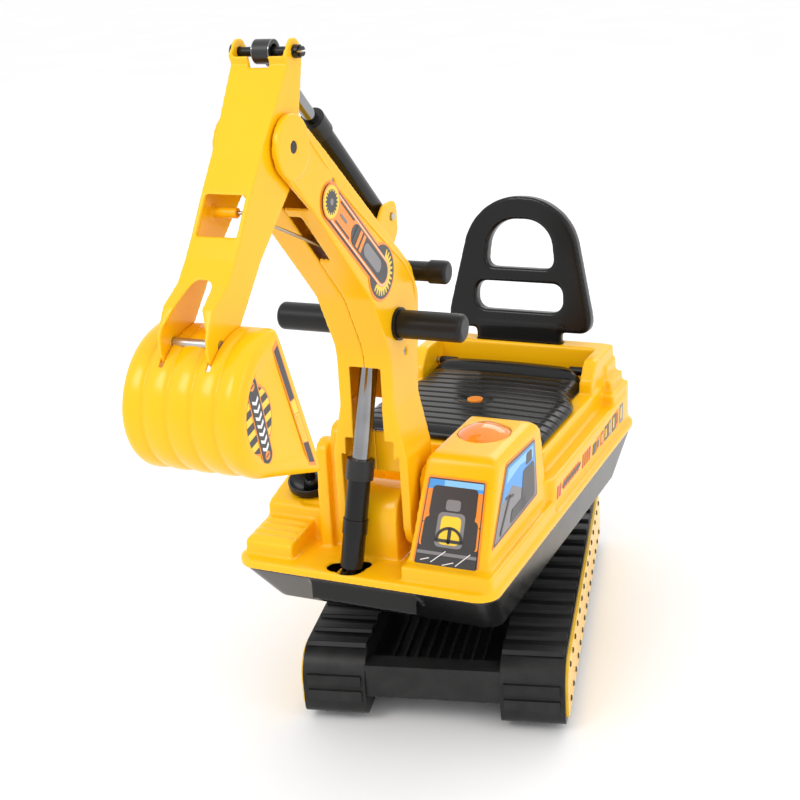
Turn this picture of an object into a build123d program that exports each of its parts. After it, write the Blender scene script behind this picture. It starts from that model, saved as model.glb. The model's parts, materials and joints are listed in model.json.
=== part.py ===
"""Ride-on toy excavator: crawler chassis, swivelling body, boom, dipper and bucket.

Millimetres, +Z up. The origin is on the swivel axis at floor level. The chassis faces -Y and the
rider faces -Y too, so the rider's left is +X. Everything above the turntable is drawn facing -Y
in the body's own frame and is then turned about Z by SWIVEL_DEG into the frame that is written.
"""
from build123d import *
import math
import os

os.makedirs("parts", exist_ok=True)

# ---- general ----
SWIVEL_DEG = -12.93        # how far the body is turned on the chassis
WALL = 3.0                 # wall of the moulded shells
RUN = 0.08                 # radial clearance of a running fit
SCREW_R = 1.75             # thread radius of the self-tapping screws
SCREW_HEAD_R = 3.4
SCREW_HEAD_H = 2.4

# ---- chassis ----
POD_IN_X = 70.6
POD_OUT_X = 137.0
POD_HALF_LEN = 228.0
POD_BOTTOM_Z = 9.0
POD_TOP_Z = 81.5
POD_NOSE_R = 34.0
TREAD_PITCH = 28.5
TREAD_W = 13.0
TREAD_H = 3.3
TREAD_COUNT = 15
PLATE_T = 3.0              # yellow side plate
PLATE_INSET = 6.0
WHEEL_R = 24.0
WHEEL_X = (85.0, 119.5)
AXLE_R = 4.0
AXLE_Y = 190.0
AXLE_HALF_LEN = 123.0
CAP_R = 8.0
FRAME_DECK_Z = 57.0
FRAME_DECK_T = 4.0
FRAME_BAR_Y = (202.0, 223.8)
FRAME_BAR_Z = (32.2, 68.8)
FRAME_SIDE_T = 4.0
FRAME_SCREW_Y = (-150.0, -60.0, 60.0, 150.0)
FRAME_SCREW_Z = 42.0
PEDESTAL_R = 62.0
PEDESTAL_TOP_Z = 118.0
BEARING_R = (30.0, 60.0)
BEARING_T = 4.0
KING_R = 6.0

# ---- body: lower hull ----
HULL_BOTTOM_Z = 127.0
RIM_Z = 181.0
HULL_BOTTOM_X = 127.0
HULL_BOTTOM_Y = (-218.0, 184.0)
HULL_TOP_X = 139.5
HULL_TOP_Y = (-264.0, 226.0)
HULL_BOSS_BOTTOM_Z = 122.3
HULL_BOSS_TOP_Z = 136.0
PANEL_X = 57.6
PANEL_Y = -260.0
PANEL_Z = 154.0
BATTERY_X = 40.0
BATTERY_Y = (96.0, 150.0)
BATTERY_TOP_Z = 158.0
BODY_SCREWS = ((-110.0, -200.0), (112.0, -190.0), (-112.0, 0.0),
               (112.0, 0.0), (-104.0, 160.0), (104.0, 160.0))
BODY_SCREW_SEAT_Z = 150.0

# ---- body: upper deck ----
RIM_X = 142.5
RIM_Y = (-267.0, 229.0)
DECK_Z = 190.0
SIDE_X = 136.0
SIDE_Y = (-75.0, 222.0)
SIDE_Z = 226.0
SEAT_BASE_X = 118.0
SEAT_BASE_Y = (-52.0, 222.0)
SEAT_BASE_Z = 247.0
WALL_X = 113.0
WALL_Y = (195.0, 222.0)
WALL_Z = 283.0
WING_X = (100.0, 116.0)
SHOULDERS = ((119.0, 182.0, 266.0), (127.0, 174.0, 250.0), (134.0, 160.0, 238.0))
CAB_X = (47.0, 131.0)
CAB_ROOF_Z = 300.0
PLINTH_X = (43.0, 139.0)
PLINTH_Y = (-259.0, -70.0)
PLINTH_Z = 205.0
CONSOLE_X = (-137.0, -44.0)
CONSOLE_Y = (-196.0, -100.0)
STEP_X = (-136.0, -82.0)
STEP_Y = (-252.0, -196.0)
STEP_Z = 205.0
EAR_X = (43.0, 54.0)
EAR_TOP_Z = (285.0, 321.0)       # left, right
LUG_X = (-67.0, -54.0)
BARREL_HOLE = (((-17.0, -248.5), 15.0), ((-31.0, -250.0), 10.0),
               ((-24.0, -236.0), 9.0), ((-8.0, -238.0), 8.0))
BIN_X = 92.0
BIN_Y = (-30.0, 168.0)
BIN_BOTTOM_Z = 165.0

# ---- seat and backrest ----
SEAT_TOP_Z = 259.0
SEAT_BOTTOM_Z = 249.4
SEAT_FRONT_X = 112.0
SEAT_REAR_X = 95.0
SEAT_Y = (-44.0, 186.0)
SEAT_HINGE = (181.0, 258.0)
SEAT_HEEL = (176.0, 252.0)       # the rear edge is cut away below this line
SEAT_LIP_TOP_Z = 267.0
SEAT_RIBS = 10
BADGE_R = 9.0
BADGE_Y = 55.0
BACK_Y = (203.5, 221.5)
BACK_FOOT_Z = 297.0
BACK_TOP_Z = 461.0
BACK_LEAN_DEG = 8.7
TAB_X = 55.0
TAB_Y = (203.0, 217.0)
TAB_BOTTOM_Z = 250.0

# ---- horn button, sound unit and joystick ----
DOME_XY = (85.0, -129.0)
DOME_R = 26.6
DOME_LIP = 1.6
DOME_TRAVEL = 3.0
DISH_CENTRE = (-99.0, -166.0, 236.5)
DISH_TILT_DEG = 15.0
DISH_R = 24.7
DISH_H = 8.0
STICK_R = 7.3
STICK_BALL_R = 9.0
STICK_LEN = 68.0

# ---- boom ----
BOOM_X = 29.0
BOOM_LOW_X = (31.0, 40.0)
BOOM_PIVOT = (-191.0, 229.0)
BOOM_PIVOT_R = 6.0
BOOM_FOOT_R = 30.0
WEB_Y = (-206.5, -202.5)    # the set back wall between the boom's cheeks
HUMP_R = 32.0
HUMP_X = 24.0
TIP = (-370.0, 635.0)
TIP_R = 27.0
FORK_X = 24.3              # inside half width of the boom's tip fork
BOOM_SCREWS = ((-183.0, 400.0), (-255.0, 537.0), (-305.0, 592.0))
CLEVIS = (-163.0, 528.0)
CLEVIS_X = (10.5, 14.0)

# ---- handlebar and dipper lever ----
BAR_AXIS = (-196.5, 432.0)
BAR_R = 8.0
BAR_HALF_LEN = 94.0
GRIP_R = 13.8
GRIP_X = (29.3, 98.0)
LEVER_PIN = (-208.0, 492.0)
LEVER_GRIP = (-128.0, 465.0)
LEVER_BAR_R = 10.0
LEVER_GRIP_R = 11.8
LEVER_HALF_LEN = 55.0
LEVER_STEP_X = 36.0
WIRE_R = 1.5
WIRE_X = 6.5
PEG = (-421.0, 592.0)
OPEN_PLAY = 2.4            # play of the pivots that are left loose on purpose

# ---- cylinders ----
LOW_BASE = (-17.0, -250.0, 178.0)
LOW_TOP = (0.0, -203.0, 402.0)
LOW_ROD_R = 9.0
LOW_BARREL_R = 11.6
LOW_GLAND_R = 14.0
LOW_BARREL = (13.0, 118.0)
LOW_ROD_START = 52.0
LOW_PIN_R = 4.0
LOW_BASE_PIN_R = 3.0
LOW_LUG_R = 6.0
LOW_LUG_X = (10.0, 13.0)        # either side of the base eye
LOW_LUG_TOP_Z = 186.5
UP_BASE = (0.0, -163.0, 528.0)
UP_TOP = (0.0, -349.0, 708.0)
UP_ROD_R = 6.0
UP_BARREL_R = 9.5
UP_GLAND_R = 11.5
UP_BARREL = (9.0, 158.0)
UP_ROD_START = 70.0
UP_PIN_R = 3.5

# ---- dipper and bucket ----
DIPPER_X = 22.5
DIPPER_TOP_X = 26.5
DIPPER_WALL = 2.8
TOP_PIN_R = 4.0
TIP_PIN_R = 5.0
BUCKET_PIVOT = (-497.0, 507.0)
BUCKET_PIN_R = 4.0
BUCKET_X = 54.0
BUCKET_WALL = 3.0
FORK_END_R = 19.5


# ---- building helpers ----
def block(x, y, z):
    """A box from its (low, high) spans."""
    size = [high - low for low, high in (x, y, z)]
    centre = [(high + low) / 2 for low, high in (x, y, z)]
    return Pos(*centre) * Box(*size)


def side_solid(points, radii, x):
    """A side view outline of (y, z) points, with corner radii, between two x values."""
    face = make_face(FilletPolyline(*points, radius=radii, close=True))
    return Pos(x[0], 0, 0) * extrude(Plane.YZ * face, x[1] - x[0])


def front_solid(points, radii, y):
    """A front view outline of (x, z) points, with corner radii, between two y values."""
    face = make_face(FilletPolyline(*points, radius=radii, close=True))
    plane = Plane(origin=(0, y[1], 0), x_dir=(1, 0, 0), z_dir=(0, -1, 0))
    return extrude(plane * face, y[1] - y[0])


def plan_solid(x_half, y, z, radius):
    """A plate with rounded corners, seen from above, centred on x = 0."""
    outline = RectangleRounded(2 * x_half, y[1] - y[0], radius)
    return extrude(Pos(0, (y[0] + y[1]) / 2, z[0]) * outline, z[1] - z[0])


def cross_rod(centre, radius, x):
    """A cylinder along x at a (y, z) centre."""
    return Pos((x[0] + x[1]) / 2, *centre) * Rot(0, 90, 0) * Cylinder(radius, x[1] - x[0])


def upright(xy, radius, z):
    """A cylinder along z at an (x, y) centre."""
    return Pos(*xy, (z[0] + z[1]) / 2) * Cylinder(radius, z[1] - z[0])


def along(start, end):
    """A plane at start whose z axis runs to end, with its x axis nearest to +X."""
    axis = (Vector(*end) - Vector(*start)).normalized()
    side = Vector(1, 0, 0) - axis * axis.X
    return Plane(origin=start, x_dir=side, z_dir=axis)


def span_rod(plane, radius, t):
    """A cylinder on a plane's z axis, between two distances."""
    return plane * Pos(0, 0, (t[0] + t[1]) / 2) * Cylinder(radius, t[1] - t[0])


def mirrored(solid, sign):
    """The +X solid itself, or its mirror image on the -X side."""
    return solid if sign > 0 else mirror(solid, about=Plane.YZ)


def both_sides(solid):
    return solid + mirrored(solid, -1)


def screw(plane, shank):
    """A self-tapping screw whose head sits on the plane and whose shank goes along +z."""
    head = Pos(0, 0, -SCREW_HEAD_H / 2) * Cylinder(SCREW_HEAD_R, SCREW_HEAD_H)
    slot = Pos(0, 0, -SCREW_HEAD_H) * Box(1.0, SCREW_HEAD_R * 1.4, 1.6)
    body = Pos(0, 0, shank / 2) * Cylinder(SCREW_R, shank)
    return plane * (head - slot + body)


def save(name, shape, turned=True):
    """Write one node; body parts are first turned on the swivel."""
    placed = Rot(0, 0, SWIVEL_DEG) * shape if turned else shape
    solids = placed.solids()
    shape_out = solids[0] if len(solids) == 1 else Compound(children=list(solids))
    export_step(shape_out, f"parts/{name}.step")


# ---- chassis parts ----
def chassis_frame():
    bars = [block((-POD_IN_X, POD_IN_X), tuple(sorted((s * FRAME_BAR_Y[0], s * FRAME_BAR_Y[1]))), FRAME_BAR_Z)
            for s in (-1, 1)]
    deck = block((-POD_IN_X, POD_IN_X), (-FRAME_BAR_Y[0], FRAME_BAR_Y[0]),
                 (FRAME_DECK_Z - FRAME_DECK_T, FRAME_DECK_Z))
    side = block((POD_IN_X - FRAME_SIDE_T, POD_IN_X), (-FRAME_BAR_Y[0], FRAME_BAR_Y[0]),
                 (FRAME_BAR_Z[0], FRAME_DECK_Z))
    frame = bars[0] + bars[1] + deck + both_sides(side)
    for s in (-1, 1):
        hollow_y = tuple(sorted((s * (FRAME_BAR_Y[0]), s * (FRAME_BAR_Y[1] - WALL))))
        frame -= block((-POD_IN_X + WALL, POD_IN_X - WALL), hollow_y, (0, FRAME_BAR_Z[1] - WALL))
        lip_y = tuple(sorted((s * 196.0, s * 199.0)))
        frame += block((-56.7, 56.7), lip_y, (FRAME_DECK_Z, 62.8))
        for i in range(-4, 5):
            rib_y = tuple(sorted((s * 75.0, s * 190.0)))
            frame += block((i * 12.0 - 1.5, i * 12.0 + 1.5), rib_y, (FRAME_DECK_Z, FRAME_DECK_Z + 3.0))
    frame += upright((0, 0), PEDESTAL_R, (FRAME_DECK_Z, PEDESTAL_TOP_Z))
    frame -= upright((0, 0), PEDESTAL_R - 4.0, (0, PEDESTAL_TOP_Z - 4.0))
    frame -= upright((0, 0), KING_R, (0, PEDESTAL_TOP_Z + 1))
    for y in FRAME_SCREW_Y:
        frame -= cross_rod((y, FRAME_SCREW_Z), SCREW_R, (-POD_IN_X, POD_IN_X))
    return frame


def pod_outline(inset):
    low = POD_BOTTOM_Z + inset
    high = POD_TOP_Z - inset
    end = POD_HALF_LEN - inset
    points = [(-end, low), (-end, high), (end, high), (end, low)]
    radii = [12.0 - inset / 2, POD_NOSE_R - inset, POD_NOSE_R - inset, 12.0 - inset / 2]
    return points, radii


def track_pod(sign):
    points, radii = pod_outline(0)
    pod = side_solid(points, radii, (POD_IN_X, POD_OUT_X))
    first = -(TREAD_COUNT - 1) / 2 * TREAD_PITCH
    for i in range(TREAD_COUNT):
        y = first + i * TREAD_PITCH
        tread = [(y - TREAD_W / 2 - 2, POD_TOP_Z - 1), (y - TREAD_W / 2 + 1, POD_TOP_Z + TREAD_H),
                 (y + TREAD_W / 2 - 1, POD_TOP_Z + TREAD_H), (y + TREAD_W / 2 + 2, POD_TOP_Z - 1)]
        pod += side_solid(tread, [0, 1.5, 1.5, 0], (POD_IN_X + 1, POD_OUT_X - 2))
    for s in (-1, 1):
        for z in (34.0, 52.0):
            y = tuple(sorted((s * 220.0, s * 230.0)))
            pod += block((POD_IN_X + 4, POD_OUT_X - 5), y, (z - 6.0, z + 6.0))
    cavity = [(-213.0, -1.0), (-213.0, 14.0), (-225.0, 26.0), (-225.0, POD_TOP_Z - WALL),
              (225.0, POD_TOP_Z - WALL), (225.0, 26.0), (213.0, 14.0), (213.0, -1.0)]
    pod -= side_solid(cavity, [0, 0, 0, POD_NOSE_R - WALL, POD_NOSE_R - WALL, 0, 0, 0],
                      (POD_IN_X + WALL, POD_OUT_X - WALL))
    for s in (-1, 1):
        pod -= cross_rod((s * AXLE_Y, WHEEL_R), AXLE_R, (POD_IN_X - 1, POD_IN_X + WALL + 1))
    for y in FRAME_SCREW_Y:
        pod -= cross_rod((y, FRAME_SCREW_Z), SCREW_R, (POD_IN_X - 1, POD_IN_X + WALL + 1))
    return mirrored(pod, sign)


def side_plate(sign):
    points, radii = pod_outline(PLATE_INSET)
    plate = side_solid(points, radii, (POD_OUT_X, POD_OUT_X + PLATE_T))
    for i in range(-7, 8):
        plate -= cross_rod((i * 28.0, 66.0), 2.0, (POD_OUT_X + PLATE_T - 1, POD_OUT_X + PLATE_T + 1))
        plate -= cross_rod((i * 28.0, 26.0), 2.0, (POD_OUT_X + PLATE_T - 1, POD_OUT_X + PLATE_T + 1))
    return mirrored(plate, sign)


def axle(sign):
    return cross_rod((sign * AXLE_Y, WHEEL_R), AXLE_R, (-AXLE_HALF_LEN, AXLE_HALF_LEN))


def wheel(side, end):
    centre = (end * AXLE_Y, WHEEL_R)
    tyre = cross_rod(centre, WHEEL_R, WHEEL_X)
    tyre = chamfer(tyre.edges().filter_by(GeomType.CIRCLE), 2.0)
    recess = cross_rod(centre, WHEEL_R - 6.0, (WHEEL_X[1] - 5.0, WHEEL_X[1] + 1))
    recess -= cross_rod(centre, 9.0, (WHEEL_X[1] - 6.0, WHEEL_X[1] + 2))
    return mirrored(tyre - recess - cross_rod(centre, AXLE_R + RUN, (0, 200)), side)


def axle_caps():
    caps = []
    for end in (-1, 1):
        cap = cross_rod((end * AXLE_Y, WHEEL_R), CAP_R, (WHEEL_X[1] + 0.5, AXLE_HALF_LEN + 1.5))
        cap -= cross_rod((end * AXLE_Y, WHEEL_R), AXLE_R, (0, AXLE_HALF_LEN))
        caps += [cap, mirrored(cap, -1)]
    return Compound(children=caps)


def turntable_bearing():
    ring = upright((0, 0), BEARING_R[1], (PEDESTAL_TOP_Z, PEDESTAL_TOP_Z + BEARING_T))
    return ring - upright((0, 0), BEARING_R[0], (PEDESTAL_TOP_Z - 1, PEDESTAL_TOP_Z + BEARING_T + 1))


def king_pin():
    shank = upright((0, 0), KING_R, (PEDESTAL_TOP_Z - 14.0, HULL_BOSS_TOP_Z + 2.3))
    head = Pos(0, 0, HULL_BOSS_TOP_Z + 2.3) * extrude(RegularPolygon(10.0, 6), 7.0)
    return shank + head


def king_pin_nut():
    nut = Pos(0, 0, PEDESTAL_TOP_Z - 12.0) * extrude(RegularPolygon(10.0, 6), 8.0)
    return nut - upright((0, 0), KING_R, (0, 200))


def king_pin_washer():
    washer = upright((0, 0), 17.0, (HULL_BOSS_TOP_Z + 0.3, HULL_BOSS_TOP_Z + 2.3))
    return washer - upright((0, 0), KING_R, (0, 200))


def chassis_screws():
    screws = []
    for sign in (-1, 1):
        for y in FRAME_SCREW_Y:
            seat = Plane(origin=(sign * (POD_IN_X - FRAME_SIDE_T), y, FRAME_SCREW_Z), z_dir=(sign, 0, 0))
            screws.append(screw(seat, FRAME_SIDE_T + WALL))
    return Compound(children=screws)


# ---- body parts ----
def hull_loft(inset, top_z):
    """The tapered tub, inset from its outer skin, from its floor up to top_z."""
    low_y = (HULL_BOTTOM_Y[0] + inset, HULL_BOTTOM_Y[1] - inset)
    high_y = (HULL_TOP_Y[0] + inset, HULL_TOP_Y[1] - inset)
    low = RectangleRounded(2 * (HULL_BOTTOM_X - inset), low_y[1] - low_y[0], 16.0 - inset)
    high = RectangleRounded(2 * (HULL_TOP_X - inset), high_y[1] - high_y[0], 18.0 - inset)
    low_at = Pos(0, sum(low_y) / 2, HULL_BOTTOM_Z + inset) * low
    high_at = Pos(0, sum(high_y) / 2, top_z) * high
    return loft([low_at.face(), high_at.face()])


def lower_hull():
    hull = hull_loft(0, RIM_Z)
    hull += block((-PANEL_X, PANEL_X), (PANEL_Y, -215.0), (PANEL_Z, RIM_Z))
    hull -= hull_loft(WALL, RIM_Z)
    hull -= block((-PANEL_X + WALL, PANEL_X - WALL), (PANEL_Y + WALL, -210.0), (PANEL_Z + WALL, RIM_Z + 1))
    hull += upright((0, 0), PEDESTAL_R, (HULL_BOSS_BOTTOM_Z, HULL_BOTTOM_Z + 1))
    hull += upright((0, 0), 26.0, (HULL_BOTTOM_Z, HULL_BOSS_TOP_Z))
    hull -= upright((0, 0), KING_R + RUN, (0, 200))
    hull -= block((-BATTERY_X, BATTERY_X), BATTERY_Y, (HULL_BOTTOM_Z - 1, HULL_BOTTOM_Z + WALL + 1))
    for xy in BODY_SCREWS:
        hull += upright(xy, 6.0, (HULL_BOTTOM_Z, RIM_Z))
        hull -= upright(xy, SCREW_R, (HULL_BOTTOM_Z - 1, RIM_Z + 1))
        hull -= upright(xy, SCREW_HEAD_R + 0.4, (HULL_BOTTOM_Z - 1, BODY_SCREW_SEAT_Z))
    return hull


def body_screws():
    seats = [Plane(origin=(*xy, BODY_SCREW_SEAT_Z), z_dir=(0, 0, 1)) for xy in BODY_SCREWS]
    return Compound(children=[screw(seat, 36.0) for seat in seats])


def cab_solid(inset):
    """The cab block: a side outline with a raked windscreen, narrowed by a front outline."""
    base_z = RIM_Z - inset
    roof = CAB_ROOF_Z - inset
    side = [(-253.0 + inset, base_z), (-253.0 + inset, DECK_Z), (-194.0 + inset, roof),
            (-88.0 - inset, roof), (-74.0 - inset, DECK_Z + 96.0), (-72.0 - inset, base_z)]
    front = [(PLINTH_X[0] + inset, base_z), (CAB_X[0] + inset, DECK_Z + 40.0), (CAB_X[0] + 3.0 + inset, roof),
             (CAB_X[1] - 6.0 - inset, roof), (CAB_X[1] - inset, base_z)]
    side_part = side_solid(side, [0, 0, 14.0, 10.0, 4.0, 0], (0, 145))
    radii = [0, 8.0 - 2 * inset, 10.0 - 2 * inset, 12.0 - 2 * inset, 0]
    return side_part & front_solid(front, radii, (-280, 0))


def console_solid(inset):
    """The joystick console, whose top slopes down towards the front."""
    base_z = RIM_Z - inset
    rise = math.tan(math.radians(DISH_TILT_DEG))
    top = [(CONSOLE_Y[0] + inset, 224.0 - inset), (CONSOLE_Y[1] - 20.0 - inset, 224.0 + 76.0 * rise - inset)]
    side = [(CONSOLE_Y[0] - 4.0 + inset, base_z), *top,
            (CONSOLE_Y[1] - inset, 230.0), (CONSOLE_Y[1] - inset, base_z)]
    x = (CONSOLE_X[0] + inset, CONSOLE_X[1] - inset)
    return side_solid(side, [0, 10.0, 8.0, 6.0, 0], x)


def step_solid(inset):
    side = [(STEP_Y[0] + inset, RIM_Z - inset), (STEP_Y[0] + 2.0 + inset, STEP_Z - inset),
            (STEP_Y[1], STEP_Z + 6.0 - inset), (STEP_Y[1], RIM_Z - inset)]
    return side_solid(side, [0, 5.0, 0, 0], (STEP_X[0] + inset, STEP_X[1] - inset))


def wing_solid(inset):
    side = [(127.0 + inset, RIM_Z - inset), (133.0 + inset, 262.0), (152.0 + inset, WALL_Z - inset),
            (WALL_Y[1] - inset, WALL_Z - inset), (WALL_Y[1] - inset, RIM_Z - inset)]
    x = (WING_X[0] + inset, WING_X[1] - inset)
    return both_sides(side_solid(side, [0, 14.0, 16.0, 6.0, 0], x))


def tier(x_half, y, z, radius, inset):
    return plan_solid(x_half - inset, (y[0] + inset, y[1] - inset), (RIM_Z - inset, z - inset), radius)


def deck_body(inset):
    """Everything that stands on the rim, as one solid, inset all over by the wall."""
    body = tier(RIM_X, RIM_Y, DECK_Z, 22.0 - inset, inset)
    body += tier(SIDE_X, SIDE_Y, SIDE_Z, 14.0, inset)
    body += tier(SEAT_BASE_X, SEAT_BASE_Y, SEAT_BASE_Z, 12.0, inset)
    body += tier(WALL_X, WALL_Y, WALL_Z, 8.0, inset)
    for x_out, y_front, z_top in SHOULDERS:
        x = (WING_X[0] + inset, x_out - inset)
        body += both_sides(block(x, (y_front + inset, WALL_Y[1] - inset), (RIM_Z - inset, z_top - inset)))
    plinth_x = (PLINTH_X[0] + inset, PLINTH_X[1] - inset)
    plinth_y = (PLINTH_Y[0] + inset, PLINTH_Y[1] - inset)
    body += block(plinth_x, plinth_y, (RIM_Z - inset, PLINTH_Z - inset))
    body += cab_solid(inset)
    body += console_solid(inset)
    body += step_solid(inset)
    body += wing_solid(inset)
    body += cross_rod(BOOM_PIVOT, HUMP_R - inset, (-HUMP_X + inset, HUMP_X - inset))
    hump_y = (BOOM_PIVOT[0] - HUMP_R + inset, BOOM_PIVOT[0] + HUMP_R - inset)
    body += block((-HUMP_X + inset, HUMP_X - inset), hump_y, (RIM_Z - inset, BOOM_PIVOT[1]))
    return body


def ear_solid():
    """The two ears that carry the boom's pivot pin, and the lug beside the console."""
    ears = None
    for sign, top_z in ((1, EAR_TOP_Z[0]), (-1, EAR_TOP_Z[1])):
        side = [(-206.0, DECK_Z - 1), (-201.0, top_z), (-171.0, top_z), (-171.0, DECK_Z - 1)]
        ear = mirrored(side_solid(side, [0, 14.9, 14.9, 0], EAR_X), sign)
        ears = ear if ears is None else ears + ear
    lug = [(-214.0, DECK_Z - 1), (-211.0, 305.0), (-181.0, 305.0), (-171.0, DECK_Z - 1)]
    return ears + side_solid(lug, [0, 14.9, 14.9, 0], LUG_X)


def base_lugs():
    """The two lugs under the deck that hold the lower cylinder's base pin."""
    eye_y = (LOW_BASE[1] - LOW_LUG_R, LOW_BASE[1] + LOW_LUG_R)
    lug = block(LOW_LUG_X, eye_y, (LOW_BASE[2] - LOW_LUG_R, LOW_LUG_TOP_Z))
    lug += block(LOW_LUG_X, (RIM_Y[0] + 2.0, eye_y[1]), (RIM_Z + 0.5, LOW_LUG_TOP_Z))
    return Pos(LOW_BASE[0], 0, 0) * both_sides(lug)


def upper_deck():
    outer = deck_body(0)
    deck = outer - deck_body(WALL)
    deck += ear_solid()
    deck -= cross_rod(BOOM_PIVOT, BOOM_PIVOT_R, (-100, 100))
    for xy, radius in BARREL_HOLE:
        deck -= upright(xy, radius, (DECK_Z - 8.0, DECK_Z + 5.0))
    deck += base_lugs()
    deck -= cross_rod(LOW_BASE[1:], LOW_BASE_PIN_R, (LOW_BASE[0] - 20.0, LOW_BASE[0] + 20.0))
    deck -= upright(DOME_XY, DOME_R + 0.4, (CAB_ROOF_Z - 5.0, CAB_ROOF_Z + 5.0))
    deck -= block((-BIN_X, BIN_X), BIN_Y, (DECK_Z - 5.0, SEAT_BASE_Z + 1))
    deck -= block((-TAB_X, TAB_X), TAB_Y, (WALL_Z - 5.0, WALL_Z + 5.0))
    deck -= cross_rod(SEAT_HINGE, 3.0, (-WING_X[0] - WALL - 5, WING_X[0] + WALL + 5))
    for i in range(4):
        y = STEP_Y[0] + 12.0 + i * 11.0
        z = STEP_Z + (y - STEP_Y[0]) * 6.0 / (STEP_Y[1] - STEP_Y[0])
        deck += cross_rod((y, z - 1.0), 3.2, (STEP_X[0] + 5, STEP_X[1] - 5))
    for xy in BODY_SCREWS:
        deck += upright(xy, 5.0, (RIM_Z, CAB_ROOF_Z)) & outer
        deck -= upright(xy, SCREW_R, (RIM_Z - 1, RIM_Z + 6.0))
    dish = Plane(origin=DISH_CENTRE, x_dir=(1, 0, 0), z_dir=dish_normal())
    deck -= span_rod(dish, 18.0, (-12.0, 4.0))
    return deck


def dish_normal():
    tilt = math.radians(DISH_TILT_DEG)
    return (0, -math.sin(tilt), math.cos(tilt))


def storage_bin():
    tub = block((-BIN_X, BIN_X), BIN_Y, (BIN_BOTTOM_Z, SEAT_BASE_Z))
    tub += block((-BIN_X - 6, BIN_X + 6), (BIN_Y[0] - 6, BIN_Y[1] + 6), (SEAT_BASE_Z, SEAT_BASE_Z + 2))
    inside_y = (BIN_Y[0] + 2, BIN_Y[1] - 2)
    return tub - block((-BIN_X + 2, BIN_X - 2), inside_y, (BIN_BOTTOM_Z + 2, SEAT_BASE_Z + 3))


def seat_outline(inset, z):
    """The seat's plan: wide in front, narrower at the back where it passes between the wings."""
    front = SEAT_FRONT_X - inset
    rear = SEAT_REAR_X - inset
    y0 = SEAT_Y[0] + inset
    y1 = SEAT_Y[1] - inset
    points = [(-front, y0), (front, y0), (front, 108.0), (rear, 123.0),
              (rear, y1), (-rear, y1), (-rear, 123.0),
              (-front, 108.0)]
    face = make_face(FilletPolyline(*points, radius=[16.0, 16.0, 8.0, 6.0, 26.0, 26.0, 6.0, 8.0], close=True))
    return extrude(Pos(0, 0, z[0]) * face, z[1] - z[0])


def seat_lid():
    seat = seat_outline(0, (SEAT_BOTTOM_Z, SEAT_TOP_Z))
    seat = fillet(seat.edges().group_by(Axis.Z)[-1], 4.0)
    pitch = (160.0 - SEAT_Y[0] - 14.0) / SEAT_RIBS
    for i in range(SEAT_RIBS):
        y = SEAT_Y[0] + 14.0 + pitch * (i + 0.5)
        seat += cross_rod((y, SEAT_TOP_Z - 2.4), 4.0, (-SEAT_REAR_X + 2, SEAT_REAR_X - 2))
    lip = block((-SEAT_REAR_X + 16, SEAT_REAR_X - 16), (168.0, 185.0), (SEAT_TOP_Z - 2, SEAT_LIP_TOP_Z))
    seat += fillet(lip.edges().group_by(Axis.Z)[-1], 5.0)
    seat -= seat_outline(WALL + 6.0, (SEAT_BOTTOM_Z - 1, SEAT_TOP_Z - 4.5))
    heel_y = (SEAT_HEEL[0], SEAT_Y[1] + 1)
    seat -= block((-SEAT_FRONT_X, SEAT_FRONT_X), heel_y, (SEAT_BOTTOM_Z - 1, SEAT_HEEL[1]))
    seat += both_sides(cross_rod(SEAT_HINGE, 5.5, (SEAT_REAR_X - 10.0, SEAT_REAR_X)))
    seat -= cross_rod(SEAT_HINGE, 3.0 + RUN, (-200, 200))
    seat -= upright((0, BADGE_Y), BADGE_R, (SEAT_TOP_Z - 1.5, SEAT_TOP_Z + 5))
    return seat


def seat_hinge_pins():
    pin = cross_rod(SEAT_HINGE, 3.0, (SEAT_REAR_X - 11.0, WING_X[0] + WALL + 2))
    return Compound(children=[pin, mirrored(pin, -1)])


def seat_badge():
    return upright((0, BADGE_Y), BADGE_R, (SEAT_TOP_Z - 1.5, SEAT_TOP_Z + 1.8))


def backrest():
    outer = [(-92, BACK_FOOT_Z), (-92, 318), (-60, BACK_TOP_Z),
             (60, BACK_TOP_Z), (92, 318), (92, BACK_FOOT_Z)]
    back = front_solid(outer, [13, 40, 72, 72, 40, 13], BACK_Y)
    through = (BACK_Y[0] - 1, BACK_Y[1] + 1)
    upper = [(-44, 374), (-38, 433), (38, 433), (44, 374)]
    back -= front_solid(upper, [10, 36, 36, 10], through)
    lower = [(-57, 321), (-55, 356), (55, 356), (57, 321)]
    back -= front_solid(lower, [14, 13, 13, 14], through)
    hinge_line = Pos(0, BACK_Y[0], BACK_FOOT_Z)
    back = hinge_line * Rot(-BACK_LEAN_DEG, 0, 0) * hinge_line.inverse() * back
    return back + block((-TAB_X, TAB_X), TAB_Y, (TAB_BOTTOM_Z, BACK_FOOT_Z + 9.0))


# ---- horn button, sound unit, joystick ----
def dome_button():
    ball_r = 40.0
    sink = CAB_ROOF_Z + 9.0 - ball_r
    cap = Pos(*DOME_XY, sink) * Sphere(ball_r)
    body = upright(DOME_XY, DOME_R, (CAB_ROOF_Z - 9.0, CAB_ROOF_Z + 9.5)) & cap
    flange = upright(DOME_XY, DOME_R + DOME_LIP, (CAB_ROOF_Z - 9.0, CAB_ROOF_Z - WALL - 0.3))
    return body + flange - upright(DOME_XY, DOME_R - 3.0, (CAB_ROOF_Z - 20.0, CAB_ROOF_Z - 1.0))


def button_spring():
    wire = 0.8
    coils = Helix(pitch=4.0, height=20.0, radius=9.0)
    section = Plane(origin=coils @ 0, z_dir=coils % 0) * Circle(wire)
    return Pos(*DOME_XY, CAB_ROOF_Z - 22.0) * sweep(section, path=coils)


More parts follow.
